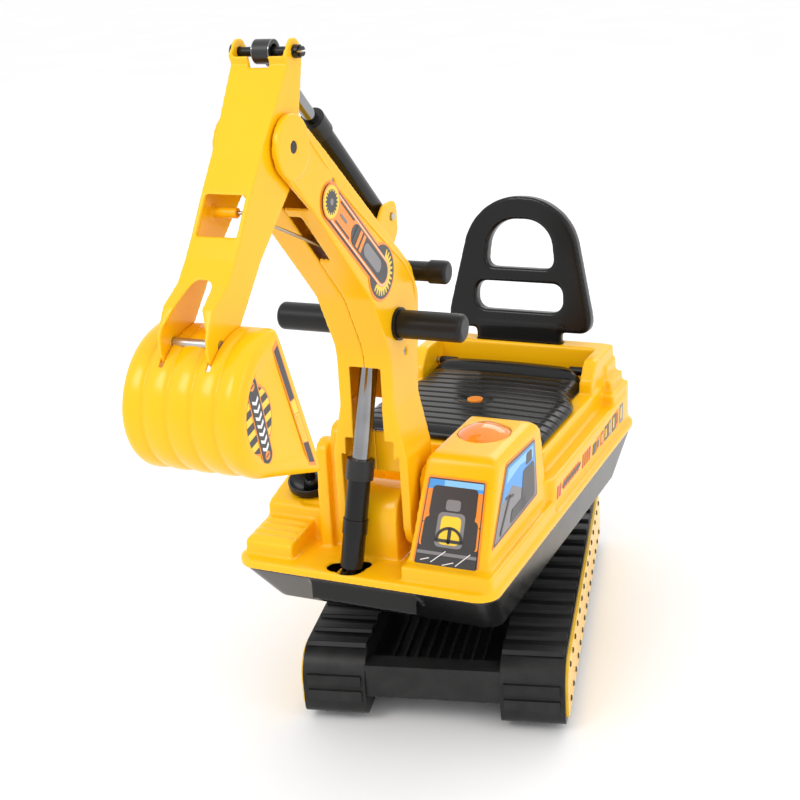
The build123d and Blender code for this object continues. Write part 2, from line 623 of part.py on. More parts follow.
def sound_board():
    board = block((DOME_XY[0] - 24, DOME_XY[0] + 24), (DOME_XY[1] - 22, DOME_XY[1] + 22),
                  (CAB_ROOF_Z - 26.0, CAB_ROOF_Z - 24.0))
    board += upright(DOME_XY, 5.0, (CAB_ROOF_Z - 24.5, CAB_ROOF_Z - 6.0 - DOME_TRAVEL))
    for s in (-1, 1):
        board += upright((DOME_XY[0] + s * 20.0, DOME_XY[1]), 3.0, (DECK_Z - 1.0, CAB_ROOF_Z - 25.0))
    return board


def speaker():
    centre = (88.0, -160.0)
    cone = upright(centre, 18.0, (RIM_Z - 20.0, RIM_Z - 12.0)) + upright(centre, 10.0, (RIM_Z - 12.0, RIM_Z))
    stand = upright(centre, 4.0, (HULL_BOTTOM_Z + WALL, RIM_Z - 19.0))
    return cone + stand


def battery_box():
    y = (BATTERY_Y[0] - 3.0, BATTERY_Y[1] + 3.0)
    x = BATTERY_X + 3.0
    box = block((-x, x), y, (HULL_BOTTOM_Z + WALL, BATTERY_TOP_Z))
    hollow_z = (HULL_BOTTOM_Z, BATTERY_TOP_Z - 2.0)
    return box - block((-BATTERY_X, BATTERY_X), BATTERY_Y, hollow_z)


def batteries():
    cells = []
    for i in (-1, 0, 1):
        centre = (sum(BATTERY_Y) / 2 + i * 15.5, 143.0)
        cells.append(cross_rod(centre, 7.2, (-25.0, 25.0)) + cross_rod(centre, 2.5, (25.0, 26.5)))
    return Compound(children=cells)


def battery_cover():
    gap = 0.4
    y = (BATTERY_Y[0] + gap, BATTERY_Y[1] - gap)
    cover = block((-BATTERY_X + gap, BATTERY_X - gap), y, (HULL_BOTTOM_Z, HULL_BOTTOM_Z + WALL))
    return cover + block((-8.0, 8.0), (y[0] + 4, y[0] + 8), (HULL_BOTTOM_Z - 1.5, HULL_BOTTOM_Z))


def joystick_dish():
    plane = Plane(origin=DISH_CENTRE, x_dir=(1, 0, 0), z_dir=dish_normal())
    dish = span_rod(plane, DISH_R, (0, DISH_H)) + span_rod(plane, 17.6, (-8.0, 0))
    bowl = plane * Pos(0, 0, 22.0) * Sphere(27.0)
    socket = plane * Sphere(STICK_BALL_R + 0.35)
    return dish - bowl - socket


def joystick_stick():
    plane = Plane(origin=DISH_CENTRE, x_dir=(1, 0, 0), z_dir=dish_normal())
    stick = plane * Sphere(STICK_BALL_R)
    stick += span_rod(plane, STICK_R - 1.8, (0, 24.0))
    stick += span_rod(plane, STICK_R, (22.0, STICK_LEN - STICK_R))
    return stick + plane * Pos(0, 0, STICK_LEN - STICK_R) * Sphere(STICK_R)


def boom_pivot_pin():
    return cross_rod(BOOM_PIVOT, BOOM_PIVOT_R, (-EAR_X[1], EAR_X[1]))


# ---- boom ----
BOOM_SIDE = [(-352, 655), (-311, 619), (-190, 509), (-158, 480), (-145, 448), (-157, 372), (-161, 330),
             (-161, 300), (-221, 300), (-220, 350), (-218, 408), (-249, 471), (-346, 578), (-388, 615)]
BOOM_SIDE_RADII = [0, 0, 0, 24, 30, 90, 0, 0, 0, 0, 60, 60, 0, 0]


def boom_side_face(inset):
    """The boom's side view above the foot, with its round tip, inset by the wall."""
    beam = make_face(FilletPolyline(*BOOM_SIDE, radius=BOOM_SIDE_RADII, close=True))
    face = beam + Pos(*TIP) * Circle(TIP_R)
    return offset(face, amount=-inset) if inset else face


def boom_foot():
    """One foot cheek: it steps out from the beam and ends round the pivot."""
    foot = cross_rod(BOOM_PIVOT, BOOM_FOOT_R, BOOM_LOW_X)
    foot += block(BOOM_LOW_X, (-221.0, -161.0), (BOOM_PIVOT[1], 300.0))
    flare_low = Pos(sum(BOOM_LOW_X) / 2, -191.0, 300.0) * Rectangle(BOOM_LOW_X[1] - BOOM_LOW_X[0], 60.0)
    flare_high = Pos(BOOM_X - 2.5, -190.0, 352.0) * Rectangle(5.0, 60.0)
    return foot + loft([flare_low.face(), flare_high.face()])


def clevis_ear():
    side = [(-205, 519), (-180, 543), (-150, 543), (-150, 512), (-172, 488), (-195, 505)]
    return side_solid(side, [0, 11, 11, 8, 0, 0], CLEVIS_X)


def boom_shell(sign):
    """One half of the boom, split on the centre seam."""
    shell = extrude(Plane.YZ * boom_side_face(0), BOOM_X)
    shell -= extrude(Plane.YZ * boom_side_face(WALL), BOOM_X - WALL)
    shell += boom_foot()
    shell += cross_rod(TIP, TIP_R, (FORK_X, BOOM_X + 1.5))
    fork_room = [(-420, 560), (-360, 560), (-316, 606), (-316, 680), (-420, 680)]
    shell -= side_solid(fork_room, [0] * 5, (-1, FORK_X))
    shell -= block((-1, 16.5), (-230, -205), (318, 392))
    shell -= block((-1, BOOM_LOW_X[0]), (-230, -150), (200, 276))
    shell -= block((-1, 26.0), (-170, -140), (200, 340))
    shell -= block((-1, 26.0), (-230, WEB_Y[0]), (276, 318))
    shell += block((0, BOOM_LOW_X[0]), WEB_Y, (280, 322))
    shell += clevis_ear()
    if sign > 0:
        under_slot = [(-345, 560), (-318, 590), (-290, 560), (-290, 505), (-320, 530)]
        shell -= side_solid(under_slot, [0] * 5, (-1, 12.0))
    lever_room = [(-190, 520), (-130, 470), (-130, 425), (-160, 425), (-175, 478), (-195, 492)]
    shell -= side_solid(lever_room, [0] * 6,
                        (-1, 6.5))
    for centre in BOOM_SCREWS:
        shell += cross_rod(centre, 6.0, (0, BOOM_X - 1))
        shell -= cross_rod(centre, SCREW_R, (-1, BOOM_X + 1))
        shell -= cross_rod(centre, SCREW_HEAD_R + 0.4, (BOOM_X - 4.0, BOOM_X + 1))
    shell -= cross_rod(BAR_AXIS, BAR_R, (-1, 100))
    shell -= cross_rod(BOOM_PIVOT, BOOM_PIVOT_R + RUN, (-1, 100))
    shell -= cross_rod(TIP, TIP_PIN_R, (-1, 100))
    shell -= cross_rod(CLEVIS, UP_PIN_R, (-1, 100))
    shell += cross_rod(LOW_TOP[1:], 8.0, (14.0, BOOM_X - 1))
    shell -= cross_rod(LOW_TOP[1:], LOW_PIN_R, (-1, BOOM_X - 2))
    return mirrored(shell, sign)


def boom_screws():
    screws = [screw(Plane(origin=(BOOM_X - 4.0, *centre), z_dir=(-1, 0, 0)), 44.0) for centre in BOOM_SCREWS]
    return Compound(children=screws)


def handlebar():
    return cross_rod(BAR_AXIS, BAR_R, (-BAR_HALF_LEN, BAR_HALF_LEN))


def grip(sign):
    body = cross_rod(BAR_AXIS, GRIP_R, GRIP_X)
    body = fillet(body.edges().filter_by(GeomType.CIRCLE).sort_by(Axis.X)[-1], 5.0)
    body += cross_rod(BAR_AXIS, GRIP_R + 2.2, (GRIP_X[0], GRIP_X[0] + 3.0))
    return mirrored(body - cross_rod(BAR_AXIS, BAR_R, (0, BAR_HALF_LEN)), sign)


def arm_bar(start, end, width, x):
    """A flat bar between two (y, z) points."""
    length = math.dist(start, end)
    angle = math.degrees(math.atan2(end[1] - start[1], end[0] - start[0]))
    outline = Pos(*start) * Rot(0, 0, angle) * Pos(length / 2, 0) * Rectangle(length, width)
    return Pos(x[0], 0, 0) * extrude(Plane.YZ * outline, x[1] - x[0])


def lever_arm():
    lever = cross_rod(BAR_AXIS, 14.0, (-9.0, 9.0))
    lever += arm_bar(BAR_AXIS, LEVER_PIN, 12.0, (-4.0, 4.0))
    lever += cross_rod(LEVER_PIN, WIRE_R + OPEN_PLAY + 3.5, (-4.0, 4.0))
    lever += arm_bar(BAR_AXIS, LEVER_GRIP, 14.0, (-5.0, 5.0))
    lever += cross_rod(LEVER_GRIP, LEVER_BAR_R, (-LEVER_STEP_X, LEVER_STEP_X))
    lever += cross_rod(LEVER_GRIP, 6.0, (-LEVER_HALF_LEN + 4, LEVER_HALF_LEN - 4))
    lever -= cross_rod(LEVER_PIN, WIRE_R + OPEN_PLAY, (-10, 10))
    return lever - cross_rod(BAR_AXIS, BAR_R + RUN, (-20, 20))


def lever_grips():
    tip = cross_rod(LEVER_GRIP, LEVER_GRIP_R, (LEVER_STEP_X, LEVER_HALF_LEN))
    tip = fillet(tip.edges().filter_by(GeomType.CIRCLE).sort_by(Axis.X)[-1], 4.0)
    tip -= cross_rod(LEVER_GRIP, 6.0, (0, LEVER_HALF_LEN - 4))
    return Compound(children=[tip, mirrored(tip, -1)])


def wire_link():
    start = (WIRE_X, *PEG)
    end = (WIRE_X, *LEVER_PIN)
    length = math.dist(start, end)
    wire = span_rod(along(start, end), WIRE_R, (0, length))
    wire += cross_rod(PEG, WIRE_R, (-4.0, WIRE_X)) + cross_rod(LEVER_PIN, WIRE_R, (-7.0, WIRE_X))
    return wire + Pos(*start) * Sphere(WIRE_R) + Pos(*end) * Sphere(WIRE_R)


# ---- cylinders ----
def barrel(plane, t, outer, inner, eye_r, pin_r, eye_x, bottom_t):
    tube = span_rod(plane, outer, t) - span_rod(plane, inner, (bottom_t, t[1] + 1))
    eye = plane.origin
    lug = cross_rod((eye.Y, eye.Z), eye_r, (eye.X - eye_x, eye.X + eye_x))
    neck = span_rod(plane, eye_r - 0.5, (0, t[0] + 1))
    neck &= block((eye.X - eye_x, eye.X + eye_x), (-600, 600), (0, 900))
    return tube + lug + neck - cross_rod((eye.Y, eye.Z), pin_r + RUN, (eye.X - 30, eye.X + 30))


def lower_barrel():
    plane = along(LOW_BASE, LOW_TOP)
    body = barrel(plane, LOW_BARREL, LOW_BARREL_R, LOW_ROD_R + RUN, LOW_LUG_R, LOW_BASE_PIN_R, 8.0, 20.0)
    collar = span_rod(plane, LOW_BARREL_R + 1.0, (48.0, 63.0))
    return body + (collar - span_rod(plane, LOW_BARREL_R - 1, (40.0, 70.0)))


def gland(plane, end, outer, barrel_r, rod_r):
    ring = span_rod(plane, outer, (end - 14.0, end + 6.0))
    ring -= span_rod(plane, barrel_r, (end - 15.0, end))
    return ring - span_rod(plane, rod_r + RUN, (end - 1, end + 7))


def piston_rod(plane, radius, inner_end, length, eye_r, pin_r, eye_x):
    tip = plane.origin + plane.z_dir * length
    rod = span_rod(plane, radius, (inner_end, length - 2.0))
    rod += cross_rod((tip.Y, tip.Z), eye_r, (tip.X - eye_x, tip.X + eye_x))
    return rod - cross_rod((tip.Y, tip.Z), pin_r + OPEN_PLAY, (tip.X - 30, tip.X + 30))


def low_length():
    return math.dist(LOW_BASE, LOW_TOP)


def up_length():
    return math.dist(UP_BASE, UP_TOP)


# ---- dipper ----
DIPPER_SIDE = [(-366, 712), (-362, 700), (-433, 609), (-454, 580), (-466, 565), (-480, 550),
               (-503, 538), (-516, 517), (-516, 500), (-478, 500), (-462, 517), (-425, 555),
               (-366, 602), (-345, 650), (-337, 697), (-336, 712)]
DIPPER_RADII = [6, 0, 0, 0, 12, 12, 6, 0, 0, 0, 0, 20, 20, 20, 0, 6]


def dipper_shell():
    front = [(-DIPPER_X, 470), (-DIPPER_X, 645), (-DIPPER_TOP_X, 706), (-DIPPER_TOP_X, 730),
             (DIPPER_TOP_X, 730), (DIPPER_TOP_X, 706), (DIPPER_X, 645), (DIPPER_X, 470)]
    inner = [(x - math.copysign(DIPPER_WALL, x), z) for x, z in front]
    side = make_face(FilletPolyline(*DIPPER_SIDE, radius=DIPPER_RADII, close=True))
    side += Pos(-349, 708) * Circle(11.0) + Pos(*BUCKET_PIVOT) * Circle(FORK_END_R)
    solid = Pos(-30, 0, 0) * extrude(Plane.YZ * side, 60)
    solid = solid & front_solid(front, [0] * 8, (-560, -300))
    hollow = Pos(-30, 0, 0) * extrude(Plane.YZ * Pos(DIPPER_WALL + 1.2, -1.0) * side, 60)
    hollow += Pos(-30, 0, 0) * extrude(Plane.YZ * Pos(DIPPER_WALL + 26.0, -8.0) * side, 60)
    hollow = hollow & front_solid(inner, [0] * 8, (-560, -300))
    shell = solid - hollow
    shell -= block((-18.5, 18.5), (-470, -420), (580, 609))
    arch = [(-30, 460), (-19.7, 522), (-13.0, 536), (-9.0, 552),
            (9.0, 552), (13.0, 536), (19.7, 522), (30, 460)]
    arch_points = [(max(-19.7, min(19.7, x)), z) for x, z in arch]
    shell -= front_solid(arch_points, [0, 0, 6, 8, 8, 6, 0, 0], (-560, -470))
    shell -= block((-9.5, 9.5), (-380, -330), (697, 730))
    shell -= block((-DIPPER_TOP_X + DIPPER_WALL, DIPPER_TOP_X - DIPPER_WALL), (-380, -300), (706, 730))
    shell += cross_rod(PEG, 4.5, (-DIPPER_X + 1, 3.0))
    shell -= cross_rod(PEG, WIRE_R + RUN, (-4.5, 10.0))
    shell += both_sides(cross_rod(TIP, 9.0, (10.0, DIPPER_X - 1)))
    shell -= cross_rod(TIP, TIP_PIN_R + RUN, (-40, 40))
    shell -= cross_rod((-349, 708), TOP_PIN_R, (-40, 40))
    return shell - cross_rod(BUCKET_PIVOT, BUCKET_PIN_R, (-40, 40))


def dipper_pivot_pin():
    return cross_rod(TIP, TIP_PIN_R, (-BOOM_X - 1.0, BOOM_X + 1.0))


def dipper_top_pin():
    pin = cross_rod((-349, 708), TOP_PIN_R, (-DIPPER_TOP_X - 4.0, DIPPER_TOP_X + 8.0))
    pin += cross_rod((-349, 708), TOP_PIN_R + 2.5, (-DIPPER_TOP_X - 4.0, -DIPPER_TOP_X))
    pin += cross_rod((-349, 708), TOP_PIN_R + 1.4, (DIPPER_TOP_X + 0.4, DIPPER_TOP_X + 5.0))
    return pin - block((DIPPER_TOP_X - 2, DIPPER_TOP_X + 9), (-380, -320), (707.2, 708.8))


# ---- bucket ----
def bucket_face(inset):
    """The bucket's side outline: crown, belly, floor and the straight mouth."""
    x = inset
    crown = ThreePointArc((-464, 514 - x), (-510 + 0.6 * x, 502 - 0.8 * x), (-537 + x, 458))
    belly = ThreePointArc((-537 + x, 458), (-527 + 0.85 * x, 420 + 0.5 * x), (-494, 398 + x))
    floor = Line((-494, 398 + x), (-414, 370 + x))
    mouth = Line((-414, 370 + x), (-464, 514 - x))
    return make_face([*crown.edges(), *belly.edges(), *floor.edges(), *mouth.edges()])


def bucket_shell():
    shell = Pos(-BUCKET_X, 0, 0) * extrude(Plane.YZ * bucket_face(0), 2 * BUCKET_X)
    cavity = Pos(-BUCKET_X + BUCKET_WALL, 0, 0) * extrude(
        Plane.YZ * bucket_face(BUCKET_WALL), 2 * (BUCKET_X - BUCKET_WALL))
    shell -= cavity
    shell -= Pos(0, 2.0, 0.6) * cavity
    slot_y = (BUCKET_PIVOT[0] - FORK_END_R - 1.2, -440.0)
    slot = block((DIPPER_X - DIPPER_WALL - 0.5, DIPPER_X + 0.5), slot_y, (BUCKET_PIVOT[1] - 12.0, 540.0))
    shell -= both_sides(slot)
    for x in ((-18.5, -13.5), (13.5, 18.5)):
        foot_y = (BUCKET_PIVOT[0] - 5, BUCKET_PIVOT[0] + 5)
        boss = cross_rod(BUCKET_PIVOT, 8.0, x) + block(x, foot_y, (505.0, 509.5))
        shell += boss & extrude(Plane.YZ.offset(-BUCKET_X) * bucket_face(0), 2 * BUCKET_X)
    return shell - cross_rod(BUCKET_PIVOT, BUCKET_PIN_R + RUN, (-40, 40))


def bucket_pin():
    return cross_rod(BUCKET_PIVOT, BUCKET_PIN_R, (-DIPPER_X, DIPPER_X))


def main():
    save("chassis_frame", chassis_frame(), turned=False)
    for side, sign in (("left", 1), ("right", -1)):
        save(f"track_pod_{side}", track_pod(sign), turned=False)
        save(f"side_plate_{side}", side_plate(sign), turned=False)
        save(f"wheel_front_{side}", wheel(sign, -1), turned=False)
        save(f"wheel_rear_{side}", wheel(sign, 1), turned=False)
        save(f"boom_shell_{side}", boom_shell(sign))
        save(f"handlebar_grip_{side}", grip(sign))
    save("front_axle", axle(-1), turned=False)
    save("rear_axle", axle(1), turned=False)
    save("axle_caps", axle_caps(), turned=False)
    save("turntable_bearing", turntable_bearing(), turned=False)
    save("king_pin", king_pin(), turned=False)
    save("king_pin_nut", king_pin_nut(), turned=False)
    save("king_pin_washer", king_pin_washer(), turned=False)
    save("chassis_screws", chassis_screws(), turned=False)

    save("lower_hull", lower_hull())
    save("upper_deck", upper_deck())
    save("body_screws", body_screws())
    save("storage_bin", storage_bin())
    save("seat_lid", seat_lid())
    save("seat_hinge_pins", seat_hinge_pins())
    save("seat_badge", seat_badge())
    save("backrest", backrest())
    save("dome_button", dome_button())
    save("button_spring", button_spring())
    save("sound_board", sound_board())
    save("speaker", speaker())
    save("battery_box", battery_box())
    save("batteries", batteries())
    save("battery_cover", battery_cover())
    save("joystick_dish", joystick_dish())
    save("joystick_stick", joystick_stick())
    save("boom_pivot_pin", boom_pivot_pin())

    save("boom_screws", boom_screws())
    save("handlebar_tube", handlebar())
    save("lever_arm", lever_arm())
    save("lever_grips", lever_grips())
    save("wire_link", wire_link())

    low = along(LOW_BASE, LOW_TOP)
    save("lower_cylinder_barrel", lower_barrel())
    save("lower_cylinder_gland", gland(low, LOW_BARREL[1], LOW_GLAND_R, LOW_BARREL_R, LOW_ROD_R))
    save("lower_cylinder_rod", piston_rod(low, LOW_ROD_R, LOW_ROD_START, low_length(), 10.0, LOW_PIN_R, 9.0))
    save("lower_base_pin", cross_rod(LOW_BASE[1:], LOW_BASE_PIN_R, (LOW_BASE[0] - 14.5, LOW_BASE[0] + 14.5)))
    save("lower_rod_pin", cross_rod(LOW_TOP[1:], LOW_PIN_R, (-BOOM_X + 2, BOOM_X - 2)))
    up = along(UP_BASE, UP_TOP)
    upper_barrel = barrel(up, UP_BARREL, UP_BARREL_R, UP_ROD_R + RUN, 8.0, UP_PIN_R, 8.0, 20.0)
    save("upper_cylinder_barrel", upper_barrel)
    save("upper_cylinder_gland", gland(up, UP_BARREL[1], UP_GLAND_R, UP_BARREL_R, UP_ROD_R))
    save("upper_cylinder_rod", piston_rod(up, UP_ROD_R, UP_ROD_START, up_length(), 10.0, TOP_PIN_R, 8.0))
    save("upper_base_pin", cross_rod(CLEVIS, UP_PIN_R, (-CLEVIS_X[1] - 1.5, CLEVIS_X[1] + 1.5)))

    save("dipper_shell", dipper_shell())
    save("dipper_pivot_pin", dipper_pivot_pin())
    save("dipper_top_pin", dipper_top_pin())
    save("bucket_shell", bucket_shell())
    save("bucket_pin", bucket_pin())


main()
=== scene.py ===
"""Looks of the ride-on toy excavator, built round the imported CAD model."""
import math
import json

import bmesh
import bpy
from mathutils import Matrix, Vector


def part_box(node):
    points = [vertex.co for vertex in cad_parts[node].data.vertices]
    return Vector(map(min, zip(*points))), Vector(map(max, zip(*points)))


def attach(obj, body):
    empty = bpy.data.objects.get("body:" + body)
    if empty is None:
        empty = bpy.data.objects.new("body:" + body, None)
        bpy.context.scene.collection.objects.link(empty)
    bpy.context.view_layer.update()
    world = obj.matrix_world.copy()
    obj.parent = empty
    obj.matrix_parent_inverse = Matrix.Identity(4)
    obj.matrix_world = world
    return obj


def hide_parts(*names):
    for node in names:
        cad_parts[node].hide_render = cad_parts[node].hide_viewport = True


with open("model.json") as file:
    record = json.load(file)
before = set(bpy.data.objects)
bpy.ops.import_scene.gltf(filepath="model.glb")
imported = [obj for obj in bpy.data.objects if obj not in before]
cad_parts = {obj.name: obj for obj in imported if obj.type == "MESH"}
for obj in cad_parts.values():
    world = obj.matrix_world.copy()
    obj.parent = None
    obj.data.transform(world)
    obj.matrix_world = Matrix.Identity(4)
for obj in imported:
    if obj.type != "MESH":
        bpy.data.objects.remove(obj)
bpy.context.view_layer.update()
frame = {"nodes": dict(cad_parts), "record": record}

SCENE = bpy.context.scene
MM = 0.001
SWIVEL = math.radians(-12.93)              # the body's turn on the chassis
TURN = Matrix.Rotation(SWIVEL, 4, "Z")


# ---- materials ----
class Nodes:
    """A material and short ways to add and link its nodes."""

    def __init__(self, name):
        self.mat = bpy.data.materials.new(name)
        self.mat.use_nodes = True
        self.tree = self.mat.node_tree
        self.bsdf = self.tree.nodes["Principled BSDF"]
        self.coord = self.add("ShaderNodeTexCoord")

    def add(self, kind, **values):
        node = self.tree.nodes.new(kind)
        for key, value in values.items():
            if hasattr(node, key):
                setattr(node, key, value)
            else:
                node.inputs[key.replace("_", " ")].default_value = value
        return node

    def link(self, source, target):
        self.tree.links.new(source, target)

    def noise(self, scale, detail=4.0, stretch=(1, 1, 1)):
        mapping = self.add("ShaderNodeMapping")
        mapping.inputs["Scale"].default_value = stretch
        self.link(self.coord.outputs["Object"], mapping.inputs["Vector"])
        node = self.add("ShaderNodeTexNoise", Scale=scale, Detail=detail)
        self.link(mapping.outputs["Vector"], node.inputs["Vector"])
        return node.outputs["Fac"]

    def ramp(self, fac, stops):
        node = self.add("ShaderNodeValToRGB")
        elements = node.color_ramp.elements
        for i, (at, colour) in enumerate(stops):
            element = elements[i] if i < 2 else elements.new(at)
            element.position = at
            element.color = (*colour, 1.0)
        self.link(fac, node.inputs["Fac"])
        return node.outputs["Color"]

    def span(self, fac, low, high):
        node = self.add("ShaderNodeMapRange")
        node.inputs["To Min"].default_value = low
        node.inputs["To Max"].default_value = high
        self.link(fac, node.inputs["Value"])
        return node.outputs["Result"]

    def bump(self, fac, strength, distance):
        node = self.add("ShaderNodeBump")
        node.inputs["Strength"].default_value = strength
        node.inputs["Distance"].default_value = distance
        self.link(fac, node.inputs["Height"])
        self.link(node.outputs["Normal"], self.bsdf.inputs["Normal"])


def moulded(name, colour, rough, grain, grain_scale, vary, coat=0.0, edge=None, shine=0.5):
    """Injection-moulded plastic: slight tone drift, fine grain, and optional paler worn edges."""
    n = Nodes(name)
    dark = tuple(c * (1 - vary) for c in colour)
    light = tuple(min(1.0, c * (1 + vary) + vary * 0.01) for c in colour)
    tone = n.ramp(n.noise(9.0, 5.0), [(0.3, dark), (0.7, light)])
    if edge:
        geo = n.add("ShaderNodeNewGeometry")
        mask = n.ramp(geo.outputs["Pointiness"], [(0.52, (0, 0, 0)), (0.60, (1, 1, 1))])
        scuff = n.add("ShaderNodeMath", operation="MULTIPLY")
        n.link(mask, scuff.inputs[0])
        n.link(n.noise(60.0, 6.0), scuff.inputs[1])
        mix = n.add("ShaderNodeMix", data_type="RGBA")
        n.link(scuff.outputs[0], mix.inputs["Factor"])
        n.link(tone, mix.inputs[6])
        mix.inputs[7].default_value = (*edge, 1.0)
        tone = mix.outputs[2]
    n.link(tone, n.bsdf.inputs["Base Color"])
    n.link(n.span(n.noise(35.0, 8.0), *rough), n.bsdf.inputs["Roughness"])
    n.bump(n.noise(grain_scale, 3.0), grain, 0.0002)
    n.bsdf.inputs["Coat Weight"].default_value = coat
    n.bsdf.inputs["Coat Roughness"].default_value = 0.12
    n.bsdf.inputs["Specular IOR Level"].default_value = shine
    return n.mat


def metal(name, colour, rough=(0.12, 0.3), brush=(1, 40, 1)):
    n = Nodes(name)
    n.bsdf.inputs["Metallic"].default_value = 1.0
    tone = n.ramp(n.noise(25.0, 6.0), [(0.3, tuple(c * 0.85 for c in colour)), (0.7, colour)])
    n.link(tone, n.bsdf.inputs["Base Color"])
    n.link(n.span(n.noise(60.0, 6.0, brush), *rough), n.bsdf.inputs["Roughness"])
    n.bump(n.noise(240.0, 3.0, brush), 0.05, 0.0001)
    return n.mat


def glossy_orange():
    n = Nodes("dome_orange")
    tone = n.ramp(n.noise(12.0), [(0.3, (0.88, 0.25, 0.012)), (0.7, (0.95, 0.32, 0.02))])
    n.link(tone, n.bsdf.inputs["Base Color"])
    n.link(n.span(n.noise(30.0), 0.08, 0.16), n.bsdf.inputs["Roughness"])
    n.bsdf.inputs["Subsurface Weight"].default_value = 0.15
    n.bsdf.inputs["Subsurface Radius"].default_value = (0.01, 0.004, 0.001)
    n.bsdf.inputs["Coat Weight"].default_value = 0.6
    return n.mat


YELLOW_RGB = (0.96, 0.505, 0.004)
YELLOW = moulded("yellow_gloss", YELLOW_RGB, (0.16, 0.26), 0.05, 700.0, 0.03, 0.0, (1.0, 0.68, 0.08), 0.34)
WORN_BLACK = (0.03, 0.03, 0.03)
BLACK = moulded("black_satin", (0.006, 0.006, 0.006), (0.22, 0.34), 0.12, 1100.0, 0.2, 0.0, WORN_BLACK, 0.32)
BLACK_GLOSS = moulded("black_gloss", (0.005, 0.005, 0.005), (0.14, 0.24), 0.05, 600.0, 0.15, 0.0, None, 0.3)
CHASSIS = moulded("chassis_black", (0.007, 0.007, 0.007), (0.28, 0.42), 0.2, 1000.0, 0.2, 0.0, WORN_BLACK,
                  0.26)
GRIP = moulded("grip_black", (0.005, 0.005, 0.005), (0.3, 0.42), 0.25, 1500.0, 0.15, 0.0, None, 0.32)
CHROME = metal("rod_silver", (0.80, 0.81, 0.83), (0.12, 0.22), (1, 1, 12))
STEEL = metal("pin_steel", (0.55, 0.55, 0.56), (0.25, 0.4))
ZINC = metal("screw_zinc", (0.50, 0.50, 0.51), (0.3, 0.5), (1, 1, 1))
ORANGE = glossy_orange()
BOARD = moulded("board_green", (0.02, 0.12, 0.05), (0.35, 0.5), 0.1, 400.0, 0.15)
CELL = moulded("cell_sleeve", (0.03, 0.04, 0.07), (0.2, 0.3), 0.05, 300.0, 0.1)
SLOT_MATERIAL = {
    "yellow_plastic": YELLOW, "black_plastic": BLACK, "chassis_plastic": CHASSIS, "grip_plastic": GRIP,
    "silver_rod": CHROME, "orange_dome": ORANGE, "steel_pin": STEEL, "steel_screw": ZINC,
    "spring_steel": STEEL, "board_green": BOARD, "battery_sleeve": CELL,
}
SLOT_OF = {entry["node"]: entry["material_slot"] for entry in frame["record"]["subparts"]}
BEVEL = {"chassis_frame": 1.2, "track_pod_left": 1.0, "track_pod_right": 1.0,
         "side_plate_left": 0.7, "side_plate_right": 0.7}
SMALL_BEVEL = 0.4


def soften(obj, width):
    """Rounds the moulded edges without touching the mesh itself."""
    bevel = obj.modifiers.new("round_edges", "BEVEL")
    bevel.width = width * MM
    bevel.segments = 3
    bevel.limit_method = "ANGLE"
    bevel.angle_limit = math.radians(35)
    bevel.use_clamp_overlap = True
    bevel.harden_normals = False


# voxel in millimetres, rounds of smoothing
REMESH = {"upper_deck": (1.5, 13), "lower_hull": (2.0, 5), "boom_shell_left": (1.0, 9),
          "boom_shell_right": (1.0, 9), "dipper_shell": (0.9, 7), "backrest": (1.5, 34),
          "joystick_dish": (0.8, 5)}


def melt(obj, voxel, rounds):
    """Rounds every inside and outside corner the way a moulded shell has it."""
    remesh = obj.modifiers.new("moulded_skin", "REMESH")
    remesh.mode = "VOXEL"
    remesh.voxel_size = voxel * MM
    remesh.use_smooth_shade = True
    smooth = obj.modifiers.new("soft_corners", "SMOOTH")
    smooth.factor = 0.5
    smooth.iterations = rounds


def rod_with_black_eye(name, eye, radius):
    """Silver rod whose pierced end is moulded in black."""
    n = Nodes(name)
    away = n.add("ShaderNodeVectorMath", operation="DISTANCE")
    n.link(n.coord.outputs["Object"], away.inputs[0])
    away.inputs[1].default_value = eye
    near = n.add("ShaderNodeMath", operation="LESS_THAN")
    n.link(away.outputs["Value"], near.inputs[0])
    near.inputs[1].default_value = radius
    for key, rod_value, eye_value in (("Metallic", 1.0, 0.0), ("Roughness", 0.1, 0.35)):
        mix = n.add("ShaderNodeMapRange")
        mix.inputs["To Min"].default_value = rod_value
        mix.inputs["To Max"].default_value = eye_value
        n.link(near.outputs[0], mix.inputs["Value"])
        n.link(mix.outputs["Result"], n.bsdf.inputs[key])
    colour = n.add("ShaderNodeMix", data_type="RGBA")
    n.link(near.outputs[0], colour.inputs["Factor"])
    silver = n.ramp(n.noise(30.0), [(0.3, (0.25, 0.25, 0.26)), (0.7, (0.34, 0.34, 0.35))])
    n.link(silver, colour.inputs[6])
    colour.inputs[7].default_value = (0.012, 0.012, 0.013, 1.0)
    n.link(colour.outputs[2], n.bsdf.inputs["Base Color"])
    n.bump(n.noise(300.0, 3.0), 0.03, 0.0001)
    return n.mat


def at(x, y, z):
    """A body-frame point in millimetres, as a row-frame point in metres."""
    return TURN @ (Vector((x, y, z)) * MM)


UPPER_ROD_EYE = at(0, -349, 708)
LOWER_ROD_EYE = at(0, -203, 402)
BLACK_EYE_R = 0.0125
NODE_MATERIAL = {
    "backrest": BLACK_GLOSS, "lower_cylinder_barrel": BLACK_GLOSS, "upper_cylinder_barrel": BLACK_GLOSS,
    "upper_cylinder_rod": rod_with_black_eye("upper_rod_silver", UPPER_ROD_EYE, BLACK_EYE_R),
    "lower_cylinder_rod": rod_with_black_eye("lower_rod_silver", LOWER_ROD_EYE, BLACK_EYE_R),
    "lower_hull": BLACK_GLOSS, "track_pod_left": CHASSIS, "track_pod_right": CHASSIS,
}

